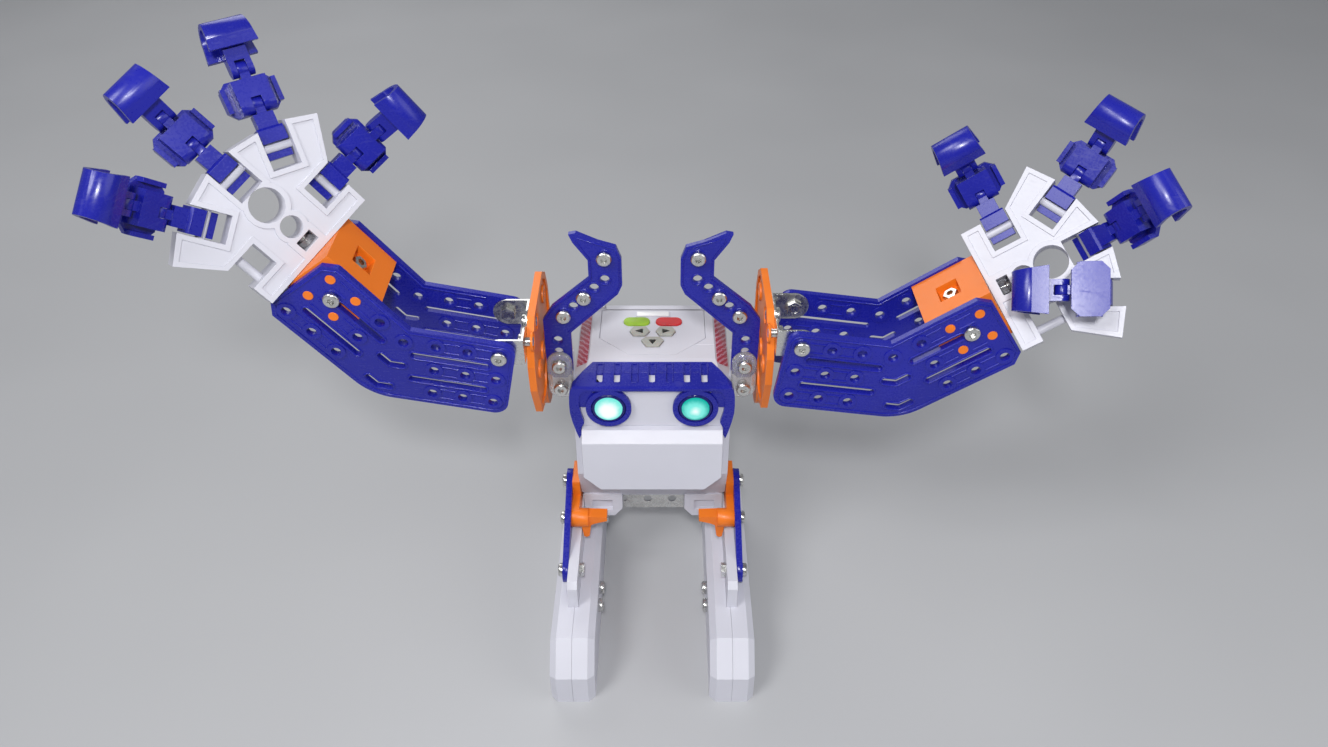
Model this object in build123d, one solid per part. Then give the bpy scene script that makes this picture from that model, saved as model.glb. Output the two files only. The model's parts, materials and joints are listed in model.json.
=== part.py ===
"""A two-legged construction-kit robot with big five-socket hands, built from its separate pieces.

Millimetres. The robot stands on the XY plane and faces -Y, +Z is up, +X is its right-hand side as seen
from the front. While it is built, X = 0 is the middle of the head; at the end everything is moved so that
the origin is the bottom centre of the whole box. Side -1 is the arm at -X, side +1 the arm at +X.
"""

from build123d import *
from math import atan2, cos, degrees, radians, sin, tan
import os

# ---------------------------------------------------------------- kit standards
PITCH = 12.7  # spacing of the holes in every strip and plate
HALF = PITCH / 2
HOLE_D = 4.1
BOLT_D = 3.9
BOLT_HEAD_D = 6.6
BOLT_HEAD_H = 2.3
SOCKET_D = 2.9  # round the drive recess in a bolt head
SOCKET_DEPTH = 1.2
NUT_D = 7.0
NUT_H = 2.2
STEEL_T = 1.0  # sheet of the angle brackets and the base strip
THREAD_GAP = 0.05  # between a nut or a boss and the bolt through it
RUN_GAP = 0.15  # between flat faces that slide on each other
SEAM_GAP = 0.15  # between casing pieces
SEAT_GAP = 0.05  # between pieces that are screwed face to face

# ---------------------------------------------------------------- head
HEAD_HALF_W = 36.5
HEAD_TOP = 133.0
HEAD_BOTTOM = 50.0
HEAD_CHAMFER = 7.0
HEAD_FOOT_CHAMFER = 4.0
HEAD_BACK_Y = 56.0
HEAD_FACE_Y = -7.0
TOP_FRONT_Y = 11.0
BROW_TOP = (7.6, 132.2)  # y, z where the brow slope starts
BROW_LOW = (-5.6, 130.0)
FACE_TOP_Z = 129.2
CHIN = (5.0, 76.0)  # y at the bottom, z where the chin starts
SEAM_Y = 22.0
WALL = 2.2
TAB_W, TAB_D, TAB_H = 5.5, 4.0, 1.6  # raised tabs at the rear corners of the top

PANEL_FRONT_W, PANEL_W = 22.8, 51.0
PANEL_FRONT_Y, PANEL_SHOULDER_Y = 14.0, 27.3
PANEL_BACK_Y = HEAD_BACK_Y - TAB_D - 0.3

PILL_W, PILL_D = 12.8, 6.4
PILL_X, PILL_Y = 7.9, 40.8
ARROW_W, ARROW_D = 9.8, 7.4
ARROW_X, ARROW_Y = 6.3, 32.4
DOWN_W, DOWN_Y = 11.0, 23.6
BUTTON_PROUD = 0.9
BUTTON_TRAVEL = 0.7
BUTTON_GAP = 0.15
BUTTON_FLANGE = 0.6
BUTTON_FLANGE_OUT = 0.5
WINDOW_W, WINDOW_D, WINDOW_Y = 16.5, 4.4, 47.1
ENGRAVE = 0.5

MASK_T = 2.2
MASK_SIDE = 1.5  # how far the mask stands out beyond the casing on each side
MASK_HALF_W = HEAD_HALF_W + MASK_SIDE
MASK_BOTTOM_Z = 101.0
MASK_WRAP = 1.5  # how far it stands out of the casing at the temples
MASK_BACK_Y = 0.3
EYE_X, EYE_Z = 20.0, 119.0
EYE_RING_D, EYE_LENS_D, EYE_DOME = 21.0, 12.7, 1.8
SLOT_COUNT, SLOT_PITCH, SLOT_W = 7, 8.0, 2.7
BLIND_SLOTS = (2, 4)
SLOT_Y = (-5.4, 0.4, 6.3)  # front of the window, its back, end of the groove behind it
BLIND_DEEP, GROOVE_DEEP = 0.7, 0.5
BROW_CREASE = (0.5, 132.5)
TEMPLE_IN, TEMPLE_BACK_Y = 10.4, 7.7  # rear corners of the brow: in from its widest point, and their y

JAW_IN = 3.5  # how far the jaw's sides lie inside the casing's
JAW_HALF_W = HEAD_HALF_W - JAW_IN
JAW_FRONT_Y = -15.0
JAW_TOP_Z, JAW_LOW_Z = 107.0, 73.0
JAW_CHAMFER = 8.0
JAW_BEVEL = 4.5

CORNER_W, CORNER_SIDE = 19.4, 1.1  # width of a corner block, its distance in from the casing's side
CORNER_OUT = HEAD_HALF_W - CORNER_SIDE
CORNER_IN = CORNER_OUT - CORNER_W
CORNER_LOW_Z = 37.0
CORNER_Y = (3.0, 15.0)
STRIP_Y = 9.0
STRIP_Z = 43.2
STRIP_SHIFT = -3.0

CELL_D, CELL_LEN = 14.0, 50.0
BOARD_T = 1.6

# ---------------------------------------------------------------- shoulder line
TURN_Y, TURN_Z = 12.0, 122.0  # axis about which a whole arm swings
MOTOR_HALF, MOTOR_LEN = 9.0, 16.0
SHAFT_D, BARREL_D, HUB_D = 4.0, 6.6, 8.6
HUB_OUT, HUB_LEN = 8.5, 3.8  # inner end of the hub from the casing's side, its length
HUB_X = (HEAD_HALF_W + HUB_OUT, HEAD_HALF_W + HUB_OUT + HUB_LEN)
DISC_T, DISC_LAP = 3.1, 0.2  # thickness of the orange shoulder plate, how far the hub runs into it
DISC_X = (HUB_X[1] - DISC_LAP, HUB_X[1] - DISC_LAP + DISC_T)  # its inner and outer face
DISC_RIB = 0.9
BRACKET_Z = 171.0
CONNECTOR_Y = 0.6  # front face of the clear joining link
CONNECTOR_T = 2.4
CONNECTOR_Z = 130.0
LINK_OUT = 5.8
LINK_X = HEAD_HALF_W + LINK_OUT
LINK_W = 11.5
HORN_HALF_W = 6.0
LUG_T = 1.8
HORN_T = 2.5

# ---------------------------------------------------------------- arm
PIVOT_OUT = 10.0  # from the shoulder plate to the pivot of the arm
PIVOT_X = DISC_X[1] + PIVOT_OUT
PIVOT_Z = 171.0
ARM_FRONT_Y = -32.0
ARM_T = 2.5
ARM_GAP = 28.5  # clear space between the two plates of an arm
ARM_W = 3 * PITCH
BEND_A = 36.0  # pivot to the inside corner of the bend
BEND_DEG = 42.0
BEND_R = 24.0
OUT_FIRST = -2.6  # first hole of the outer rows, past the bend corner
OUT_END = OUT_FIRST + 3 * PITCH + HALF
INNER_CORNER_R = 6.0
END_CHAMFER = 4.6
SLOT_WIDE = 2.6
PAD_D, PAD_H = 7.6, 0.5
PEG_D = 4.0
BLOCK_A = (15.0, 42.75)
BLOCK_B = (-1.0, -24.5)

# ---------------------------------------------------------------- hand
PALM_BASE_A = 42.9  # palm's base, past the bend corner
PALM_T = 11.0
PALM_LEN = 47.2
PALM_BASE_W = 53.8
LOBE_TIP = (34.4, 38.8)
LOBE_NEAR = (41.3, 28.2)
LOBE_MID = (44.4, 17.9)
LOBE_IN = (PALM_LEN, 5.8)
SIDE_BLOCK = 8.6
SOCKET_W = 11.0
SOCKET_IN = 8.0  # from the bar to the closed end of its socket
BAR_D = 3.5
PALM_HOLE = (25.1, 13.3)  # place along the palm, diameter
PALM_SMALL_HOLE = (13.5, 8.6)
PALM_PANEL_IN, PALM_PANEL_DEEP = 2.0, 0.7
WRIST_SCREW_A = 6.2
SOCKETS = {"side": (14.1, 22.1, 90.0), "outer": (36.0, 19.7, 27.0), "centre": (39.9, 0.0, 0.0)}

CLIP_W, CLIP_T = 9.8, 7.6
CLIP_BACK, CLIP_FRONT = 4.4, 7.2
CLIP_MOUTH, CLIP_LIP = 1.45, 0.6  # half width of the opening on the palm's face side, height of its inner lip
LINK_LEN = 16.5  # bar to the second hinge of a finger
NECK_W, NECK_T = 7.6, 5.6
MID_LEN = 13.0  # second to third hinge
MID_W, MID_T = 13.0, 7.0
MID_IN = 4.4  # how far the middle piece starts before its box centre
PLATE_W, PLATE_L, PLATE_T = 20.8, 13.5, 2.4
TIP_W, TIP_END_W = 19.0, 15.2  # width of the hood at its root and at its end
TIP_LEN, TIP_T, TIP_WALL = 18.2, 12.0, 2.0
TIP_ROOT = 4.6
KNUCKLE_D = 5.6
HINGE_PIN_D = 2.0
HINGE_TONGUE, TONGUE_T = 3.6, 4.4
FORK_CLEAR = 3.9  # from a hinge pin back to the shoulder of the piece before it
FINGER_GAP = 0.1

# ---------------------------------------------------------------- legs
FOOT_OUT = 0.9  # middle of a foot beyond the casing's side
FOOT_X = HEAD_HALF_W + FOOT_OUT
FOOT_W, FOOT_H = 20.9, 31.0
FOOT_BEVEL = 3.1
FOOT_FRONT_Y, FOOT_BACK_Y = -83.0, 46.0
TOE_FACE_H, TOE_SLOPE = 17.5, 13.0
FOOT_WALL = 2.4
FIN_SIDE, FIN_T = 1.8, 4.8  # inner face of the fin from the foot's middle, its thickness
FIN_X = (FOOT_X - FIN_SIDE, FOOT_X - FIN_SIDE + FIN_T)
FIN_FRONT_Y, FIN_BACK_Y, FIN_PROUD = -52.0, 24.0, 15.5
FIN_TOP_Z = FOOT_H + FIN_PROUD
LEG_STRIP_T = 3.0
LEG_W = 12.0
HIP_BLOCK_Y, HIP_BLOCK_H = (-2.0, 14.0), 19.0
HIP_BLOCK = (HIP_BLOCK_Y, FIN_TOP_Z + HIP_BLOCK_H)  # y values, top
HIP_BARREL_D, HIP_LEVER_LEN, HIP_LOBE_DROP = 9.4, 13.7, 11.0  # lever from the casing's side, lobe under the barrel
HIP_LEVER_X = HEAD_HALF_W - HIP_LEVER_LEN

# ---------------------------------------------------------------- pose at rest (degrees)
ARM_POSE = {-1: {"lean": 4.0, "raise": 12.0, "twist": 44.0}, 1: {"lean": 0.5, "raise": -7.5, "twist": 44.0}}
# finger: socket, which side of the palm (+1 is the head side), knuckle, middle and tip bend
FINGERS = {
    -1: {
        "thumb": ("side", 1, (8.0, 4.0, 22.0)),
        "first": ("outer", 1, (-8.0, 0.0, 2.0)),
        "middle": ("centre", 0, (-6.0, 2.0, 24.0)),
        "last": ("outer", -1, (18.0, 12.0, 16.0)),
    },
    1: {
        "thumb": ("side", 1, (2.0, 22.0, 36.0)),
        "first": ("outer", 1, (4.0, 6.0, 34.0)),
        "middle": ("centre", 0, (38.0, 8.0, 16.0)),
        "last": ("outer", -1, (95.0, 78.0, 5.0)),
    },
}
SIDE_NAME = {-1: "left", 1: "right"}


# ================================================================ small helpers
def block(x, y, z):
    """A box between the two values of each axis."""
    size = [abs(b - a) for a, b in (x, y, z)]
    middle = [(a + b) / 2 for a, b in (x, y, z)]
    return Pos(*middle) * Box(*size)


def rod(start, direction, diameter, length):
    """A cylinder that starts at a point and runs along a direction."""
    where = Plane(origin=start, z_dir=direction)
    return where * Cylinder(diameter / 2, length, align=(Align.CENTER, Align.CENTER, Align.MIN))


def hexagon(start, direction, width, length):
    """A six-sided prism, width across its corners."""
    face = Plane(origin=start, z_dir=direction) * RegularPolygon(width / 2, 6)
    return extrude(face, amount=length)


def outline_xz(points, y_back, y_front):
    """An outline of (x, z) points as a slab between two y values."""
    plane = Plane(origin=(0, y_back, 0), x_dir=(1, 0, 0), z_dir=(0, -1, 0))
    return extrude(plane * make_face(Polyline(*points, close=True)), amount=y_back - y_front)


def outline_yz(points, x_low, x_high):
    """An outline of (y, z) points as a slab between two x values."""
    plane = Plane(origin=(x_low, 0, 0), x_dir=(0, 1, 0), z_dir=(1, 0, 0))
    return extrude(plane * make_face(Polyline(*points, close=True)), amount=x_high - x_low)


def outline_xy(points, z_low, z_high):
    """An outline of (x, y) points as a slab between two z values."""
    plane = Plane(origin=(0, 0, z_low), x_dir=(1, 0, 0), z_dir=(0, 0, 1))
    return extrude(plane * make_face(Polyline(*points, close=True)), amount=z_high - z_low)


def both_signs(points):
    """A half outline, listed from the middle outwards and back, closed with its mirror image."""
    return points + [(-x, z) for x, z in reversed(points) if abs(x) > 1e-9]


def pill(width, depth, z_low, z_high):
    """An upright slab with round ends, width along X."""
    face = Plane.XY.offset(z_low) * SlotOverall(width, depth)
    return extrude(face, amount=z_high - z_low)


def bolt(seat, direction, length):
    """A bolt whose head rests on seat; its shank runs on along direction."""
    way = Vector(*direction)
    head_from = Vector(*seat) - way * BOLT_HEAD_H
    head = rod(tuple(head_from), direction, BOLT_HEAD_D, BOLT_HEAD_H)
    head = chamfer(head.edges().filter_by(GeomType.CIRCLE).sort_by(Axis(seat, direction))[0], 0.5)
    recess = hexagon(tuple(head_from), direction, SOCKET_D, SOCKET_DEPTH)
    return head - recess + rod(seat, direction, BOLT_D, length)


def nut(seat, direction):
    """A nut whose near face is at seat, threaded on a bolt that runs along direction."""
    body = hexagon(seat, direction, NUT_D, NUT_H)
    return body - rod(seat, direction, BOLT_D + 2 * THREAD_GAP, NUT_H)


def bolt_hole(start, direction, length):
    return rod(start, direction, HOLE_D, length)


def mirrored(shape):
    """The same solids on the other side of the robot."""
    return mirror(shape, Plane.YZ)


def pair(shape):
    """A piece and its mirror image, as separate solids."""
    return gather(shape, mirrored(shape))


def gather(*shapes):
    """Every solid of the shapes, loose in one compound."""
    found = []
    for shape in shapes:
        found += shape.solids()
    return Compound(found)


# ================================================================ head
def head_section(inset):
    """Front view of the casing, all round, moved inwards by inset."""
    corner = inset * tan(radians(22.5))
    half, top, low = HEAD_HALF_W - inset, HEAD_TOP - inset, HEAD_BOTTOM + inset
    cut, foot = HEAD_CHAMFER - corner, HEAD_FOOT_CHAMFER - corner
    return both_signs([(0, low), (half - foot, low), (half, low + foot), (half, top - cut),
                       (half - cut, top), (0, top)])


def head_profile(inset):
    """Side view of the casing: flat top, sloping brow, upright face, chin."""
    back, top, low = HEAD_BACK_Y - inset, HEAD_TOP - inset, HEAD_BOTTOM + inset
    face = HEAD_FACE_Y + inset
    return [(back, low), (back, top), (TOP_FRONT_Y + inset * 0.2, top),
            (BROW_TOP[0] + inset * 0.4, BROW_TOP[1] - inset), (BROW_LOW[0] + inset * 0.5, BROW_LOW[1] - inset),
            (face, FACE_TOP_Z - inset), (face, CHIN[1]), (CHIN[0] + inset, low)]


def head_body(inset):
    wide = HEAD_HALF_W + 1
    front_view = outline_xz(head_section(inset), HEAD_BACK_Y + 1, HEAD_FACE_Y - 1)
    return front_view & outline_yz(head_profile(inset), -wide, wide)


def panel_outline(gap):
    return both_signs([(0, PANEL_FRONT_Y + gap), (PANEL_FRONT_W / 2, PANEL_FRONT_Y + gap),
                       (PANEL_W / 2 - gap, PANEL_SHOULDER_Y), (PANEL_W / 2 - gap, PANEL_BACK_Y - gap),
                       (0, PANEL_BACK_Y - gap)])


def corner_blocks():
    """The two blocks with a rectangular recess under the front of the casing."""
    y0, y1 = CORNER_Y
    low, high = CORNER_LOW_Z, HEAD_BOTTOM + WALL
    outline = [(CORNER_IN, high), (CORNER_IN, low + 5), (CORNER_IN + 4, low), (CORNER_OUT - 5, low),
               (CORNER_OUT, low + 5), (CORNER_OUT, high)]
    body = outline_xz(outline, y1, y0)
    recess = block((CORNER_IN + 5, CORNER_OUT - 4), (y0, y0 + 2.5), (low + 4, HEAD_BOTTOM - 2))
    return [body - recess, mirrored(body - recess)]


def shoulder_lug():
    """The ear on the side wall that carries the clear link."""
    y0 = CONNECTOR_Y + CONNECTOR_T + SEAT_GAP + HORN_T + SEAT_GAP
    z0 = CONNECTOR_Z - HALF
    lug = block((HEAD_HALF_W - 0.5, LINK_X + 4.2), (y0, y0 + LUG_T), (z0 - 4.5, z0 + PITCH + 4.5))
    for k in range(2):
        lug -= bolt_hole((LINK_X, y0 - 1, z0 + k * PITCH), (0, 1, 0), LUG_T + 2)
    return lug


def casing():
    """Front and rear shells, split at the seam, with the panel opening in the top."""
    whole = head_body(0) - head_body(WALL)
    opening = outline_xy(panel_outline(0), HEAD_TOP - WALL - 1, HEAD_TOP + 1)
    ledge_gap = 3.0
    ledge = outline_xy(panel_outline(-0.5), HEAD_TOP - WALL - 1.2, HEAD_TOP - WALL)
    ledge -= outline_xy(panel_outline(ledge_gap), HEAD_TOP - WALL - 2, HEAD_TOP)
    whole = whole - opening + ledge
    for side in (-1, 1):
        whole -= rod((side * (HEAD_HALF_W - WALL - 1), TURN_Y, TURN_Z), (side, 0, 0), SHAFT_D + 1.0, WALL + 2)
    far = 100
    front = whole & block((-far, far), (-far, SEAM_Y - SEAM_GAP / 2), (0, 2 * far))
    rear = whole & block((-far, far), (SEAM_Y + SEAM_GAP / 2, far), (0, 2 * far))
    for piece in corner_blocks() + [shoulder_lug(), mirrored(shoulder_lug())]:
        front += piece
    rail_in, rail_out = HEAD_HALF_W - WALL - 3.0, HEAD_HALF_W - WALL + 0.5
    for side in (-1, 1):
        rear += block((side * rail_in, side * rail_out), (SEAM_Y + 2, HEAD_BACK_Y - WALL - 1), (board_z() - 3, board_z() - SEAT_GAP))
    for side in (-1, 1):
        x = side * (HEAD_HALF_W - HEAD_CHAMFER - TAB_W / 2)
        rear += block((x - TAB_W / 2, x + TAB_W / 2), (HEAD_BACK_Y - TAB_D, HEAD_BACK_Y),
                      (HEAD_TOP - 1, HEAD_TOP + TAB_H))
    rear += cell_tray()
    # the base strip is screwed to this bar between the corner blocks
    bar_y = STRIP_Y + STEEL_T + SEAT_GAP
    front += block((-CORNER_IN - 1, CORNER_IN + 1), (bar_y, CORNER_Y[1]), (STRIP_Z + 3.2, HEAD_BOTTOM + 1))
    return front, rear


def cell_tray():
    """Two ribs on the floor of the casing that the cells lie on."""
    tray = None
    for x in (-18, 18):
        rib = block((x - 1, x + 1), (SEAM_Y + 1, HEAD_BACK_Y - WALL + 0.5), (HEAD_BOTTOM + 1, HEAD_BOTTOM + WALL + 2))
        tray = rib if tray is None else tray + rib
    return tray


def cells():
    """Four cells lying across the casing, two by two."""
    first_z = HEAD_BOTTOM + WALL + 2 + 0.1 + CELL_D / 2
    first_y = HEAD_BACK_Y - WALL - 0.6 - CELL_D / 2
    found = []
    for row in range(2):
        for column in range(2):
            y = first_y - column * (CELL_D + 0.4)
            z = first_z + row * (CELL_D + 0.4)
            can = rod((-CELL_LEN / 2, y, z), (1, 0, 0), CELL_D, CELL_LEN - 1.2)
            cap = rod((CELL_LEN / 2 - 1.3, y, z), (1, 0, 0), 5, 1.3)
            found.append(can + cap)
    return gather(*found)


def board_z():
    """Underside of the circuit board."""
    return HEAD_TOP - WALL - 8


def board():
    z = board_z()
    half = HEAD_HALF_W - WALL - 1
    plate = block((-half, half), (TURN_Y + MOTOR_HALF - 0.6, HEAD_BACK_Y - WALL - 1), (z, z + BOARD_T))
    for x, y in button_places():
        plate += block((x - 2.5, x + 2.5), (y - 2.5, y + 2.5), (z + BOARD_T, button_bottom() - BUTTON_TRAVEL - 0.2))
    return plate


def button_places():
    return [(-PILL_X, PILL_Y), (PILL_X, PILL_Y), (-ARROW_X, ARROW_Y), (ARROW_X, ARROW_Y), (0, DOWN_Y)]


def button_bottom():
    """Underside of a button's stem."""
    return HEAD_TOP - WALL - 2.6


def button_body(shape, x, y):
    """A cap of the given face with its flange under the panel and a stem down to the switch."""
    low = HEAD_TOP - WALL - RUN_GAP
    cap = shape(0, low, HEAD_TOP + BUTTON_PROUD)
    flange = shape(BUTTON_FLANGE_OUT, low - BUTTON_FLANGE, low)
    stem = block((-2, 2), (-2, 2), (button_bottom(), low - BUTTON_FLANGE))
    return Pos(x, y, 0) * (cap + flange + stem)


def pill_button(grow, low, high):
    return pill(PILL_W + 2 * grow, PILL_D + 2 * grow, low, high)


def arrow_button(grow, low, high):
    half, deep = ARROW_W / 2 + grow, ARROW_D / 2 + grow
    return outline_xy([(-half, 0), (-half * 0.6, -deep), (half * 0.6, -deep), (half, 0),
                       (half * 0.6, deep), (-half * 0.6, deep)], low, high)


def down_button(grow, low, high):
    half, deep = DOWN_W / 2 + grow, ARROW_D / 2 + grow
    return outline_xy([(-half, deep * 0.3), (-half * 0.55, -deep), (half * 0.55, -deep), (half, deep * 0.3),
                       (half * 0.6, deep), (-half * 0.6, deep)], low, high)


BUTTONS = {
    "go_button": (pill_button, -PILL_X, PILL_Y, 0),
    "stop_button": (pill_button, PILL_X, PILL_Y, 0),
    "left_button": (arrow_button, -ARROW_X, ARROW_Y, 180),
    "right_button": (arrow_button, ARROW_X, ARROW_Y, 0),
    "down_button": (down_button, 0, DOWN_Y, 270),
}


def make_button(name):
    """A button; the three grey ones carry a triangle cut into the cap."""
    shape, x, y, turn = BUTTONS[name]
    body = button_body(shape, x, y)
    if shape is pill_button:
        return body
    arrow = outline_xy([(2.4, 0), (-1.6, 2.0), (-1.6, -2.0)], 0, 1)
    top = HEAD_TOP + BUTTON_PROUD - ENGRAVE
    return body - Pos(x, y, top) * Rot(0, 0, turn) * arrow


def top_panel():
    plate = outline_xy(panel_outline(SEAM_GAP), HEAD_TOP - WALL + 0.02, HEAD_TOP)
    for shape, x, y, _ in BUTTONS.values():
        plate -= Pos(x, y, 0) * shape(BUTTON_GAP, HEAD_TOP - WALL - 1, HEAD_TOP + 1)
    window = block((-WINDOW_W / 2, WINDOW_W / 2), (WINDOW_Y - WINDOW_D / 2, WINDOW_Y + WINDOW_D / 2),
                   (HEAD_TOP - 0.5, HEAD_TOP + 0.8))
    return plate + window


def mask_outline():
    """Outer edge of the mask below the brow, from the tip up to the brow, as (x, z)."""
    wide = MASK_HALF_W
    return [(wide - 3.7, MASK_BOTTOM_Z), (wide - 2.6, 104.5), (wide - 1.0, 111.0), (wide - 0.1, 116.5),
            (wide, 121.5), (wide - 0.2, 126.0), (wide - 0.7, FACE_TOP_Z + 0.2)]


def mask_inner():
    """Inner edge, from the brow down to the tip."""
    wide = MASK_HALF_W
    return [(wide - 9.4, FACE_TOP_Z + 0.4), (wide - 6.2, 128.4), (wide - 4.7, 125.6), (wide - 4.4, 121.5),
            (wide - 5.4, 115.0), (wide - 6.4, 110.6),
            (JAW_HALF_W + SEAM_GAP, 107.4), (JAW_HALF_W + SEAM_GAP, 103.6)]


def visor_line():
    """The three points of the visor's upper face in side view, from its lip to its back."""
    lip = HEAD_FACE_Y - SEAT_GAP - MASK_T + 1.2
    return [(lip, FACE_TOP_Z + 2.0), BROW_CREASE, (BROW_TOP[0], BROW_TOP[1] + 1.2)]


def visor_height(y):
    """Height of the visor's upper face at a depth y."""
    lip, crease, back = visor_line()
    (y0, z0), (y1, z1) = (lip, crease) if y < crease[0] else (crease, back)
    return z0 + (y - y0) * (z1 - z0) / (y1 - y0)


def brow_solid(front, face_back):
    """The blue visor that follows the slope of the casing, narrower at its back."""
    outer = [(front, FACE_TOP_Z), (front, FACE_TOP_Z + 1.3)] + visor_line()
    inner = [(BROW_TOP[0], BROW_TOP[1] + SEAT_GAP * 2), (BROW_LOW[0] - 0.05, BROW_LOW[1] + SEAT_GAP * 2),
             (face_back, FACE_TOP_Z + SEAT_GAP), (face_back, FACE_TOP_Z)]
    brow = outline_yz(outer + inner, -MASK_HALF_W, MASK_HALF_W)
    high = BROW_TOP[1] + 1.4
    wide = MASK_HALF_W
    sides = both_signs([(0, FACE_TOP_Z - 5), (wide, FACE_TOP_Z - 5), (wide - 0.3, 128.4), (wide - 1.7, 130.9),
                        (wide - 8.4, high), (0, high)])
    return brow & outline_xz(sides, 20, -20)


def temple_cut(front):
    """Plan view of the visor: its sides run inwards towards the back."""
    wide = MASK_HALF_W + 0.1
    return outline_xy(both_signs([(0, front - 0.1), (wide, front - 0.1), (wide, HEAD_FACE_Y),
                                  (MASK_HALF_W - TEMPLE_IN, TEMPLE_BACK_Y), (0, TEMPLE_BACK_Y)]), 90, 150)


def groove(y0, y1, deep, low, high):
    """A cut of even depth into the visor's upper face."""
    line = [(y0, visor_height(y0) - deep), (y1, visor_height(y1) - deep)]
    return outline_yz(line + [(y1, FACE_TOP_Z + 10), (y0, FACE_TOP_Z + 10)], low, high)


def brow_slots():
    """Windows and grooves across the visor; the blind ones are only shallow."""
    y0, y1, y2 = SLOT_Y
    cuts = []
    for k in range(SLOT_COUNT):
        x = (k - (SLOT_COUNT - 1) / 2) * SLOT_PITCH
        low, high = x - SLOT_W / 2, x + SLOT_W / 2
        if k in BLIND_SLOTS:
            cuts.append(groove(y0, y1, BLIND_DEEP, low, high))
        else:
            cuts.append(block((low, high), (y0, y1), (FACE_TOP_Z - 5, FACE_TOP_Z + 10)))
        cuts.append(groove(y1 - 0.1, y2, GROOVE_DEEP, low + 0.3, high - 0.3))
    return cuts


def face_mask():
    """The blue visor with its cheeks and the two rings round the eyes."""
    face_back = HEAD_FACE_Y - SEAT_GAP
    front = face_back - MASK_T
    cheek = outline_xz(mask_outline() + mask_inner(), face_back, front)
    mask = cheek + mirrored(cheek)
    # the temples wrap round the chamfer of the casing
    wrap = head_body(-MASK_WRAP) - head_body(-SEAT_GAP)
    upper = brow_solid(front, face_back)
    for side in (-1, 1):
        upper += wrap & block((side * 27.0, side * 50), (front, MASK_BACK_Y), (119.0, HEAD_TOP + 1))
    mask += upper & temple_cut(front)
    for side_sign in (-1, 1):
        ring = rod((side_sign * EYE_X, face_back, EYE_Z), (0, -1, 0), EYE_RING_D, MASK_T)
        ring &= block((-50, 50), (-50, 50), (0, FACE_TOP_Z + 1.0))
        mask += ring
    for side_sign in (-1, 1):
        eye = (side_sign * EYE_X, face_back + 1, EYE_Z)
        mask -= rod(eye, (0, -1, 0), EYE_LENS_D + 2 * SEAT_GAP, MASK_T + 2)
        mask -= rod((eye[0], front + 0.9, EYE_Z), (0, -1, 0), EYE_LENS_D + 3.6, 2)
    for cut in brow_slots():
        mask -= cut
    return mask


def eye_lenses():
    """Domed lenses pressed into the rings."""
    back = HEAD_FACE_Y - SEAT_GAP
    lens = rod((EYE_X, back, EYE_Z), (0, -1, 0), EYE_LENS_D, MASK_T + 0.4)
    radius = ((EYE_LENS_D / 2) ** 2 + EYE_DOME**2) / (2 * EYE_DOME)
    ball = Pos(EYE_X, back - MASK_T - 0.4 - EYE_DOME + radius, EYE_Z) * Sphere(radius)
    dome = ball & rod((EYE_X, back - MASK_T - 0.4, EYE_Z), (0, -1, 0), EYE_LENS_D, EYE_DOME + 1)
    return pair(lens + dome)


def jaw_cover():
    """The hollow front cover over the chin."""
    back = HEAD_FACE_Y - SEAT_GAP
    cut = JAW_CHAMFER
    outline = both_signs([(0, JAW_LOW_Z), (JAW_HALF_W - cut, JAW_LOW_Z), (JAW_HALF_W, JAW_LOW_Z + cut),
                          (JAW_HALF_W, JAW_TOP_Z), (0, JAW_TOP_Z)])
    body = outline_xz(outline, back, JAW_FRONT_Y)
    bevel = outline_yz([(JAW_FRONT_Y - 1, JAW_TOP_Z - JAW_BEVEL - 1), (back - 2.5, JAW_TOP_Z + 0.6),
                        (JAW_FRONT_Y - 1, JAW_TOP_Z + 2)], -50, 50)
    body -= bevel
    inner = both_signs([(0, JAW_LOW_Z + WALL), (JAW_HALF_W - cut - 1, JAW_LOW_Z + WALL),
                        (JAW_HALF_W - WALL, JAW_LOW_Z + cut + 1), (JAW_HALF_W - WALL, JAW_TOP_Z - JAW_BEVEL - WALL),
                        (0, JAW_TOP_Z - JAW_BEVEL - WALL)])
    return body - outline_xz(inner, back, JAW_FRONT_Y + WALL)


def strip_holes():
    return [STRIP_SHIFT + k * PITCH for k in (-1, 0, 1)]


def base_strip():
    half = CORNER_IN - 0.3
    strip = block((-half, half), (STRIP_Y, STRIP_Y + STEEL_T), (STRIP_Z - HALF, STRIP_Z + HALF))
    for x in strip_holes():
        strip -= bolt_hole((x, STRIP_Y - 1, STRIP_Z), (0, 1, 0), 4)
    return strip


# ================================================================ shoulders
def motor():
    """Geared motor against the inside of the side wall."""
    out = HEAD_HALF_W - WALL - 0.4
    body = block((out - MOTOR_LEN, out), (TURN_Y - MOTOR_HALF, TURN_Y + MOTOR_HALF - 1),
                 (TURN_Z - MOTOR_HALF - 3, TURN_Z + 2.9))
    body -= rod((out - 12, TURN_Y, TURN_Z), (1, 0, 0), SHAFT_D + 0.2, 13)
    can = rod((out - MOTOR_LEN - 8, TURN_Y, TURN_Z - 5), (1, 0, 0), 12, 8)
    return body + can


def shoulder_shaft():
    """Steel shaft from the gearbox with its white barrel, on the +X side."""
    inner = HEAD_HALF_W - WALL - 0.3 - 11
    shaft = rod((inner, TURN_Y, TURN_Z), (1, 0, 0), SHAFT_D, HUB_X[1] - 1 - inner)
    barrel = rod((HEAD_HALF_W + 0.3, TURN_Y, TURN_Z), (1, 0, 0), BARREL_D, HUB_X[0] - 0.05 - HEAD_HALF_W - 0.3)
    return shaft + barrel


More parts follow.
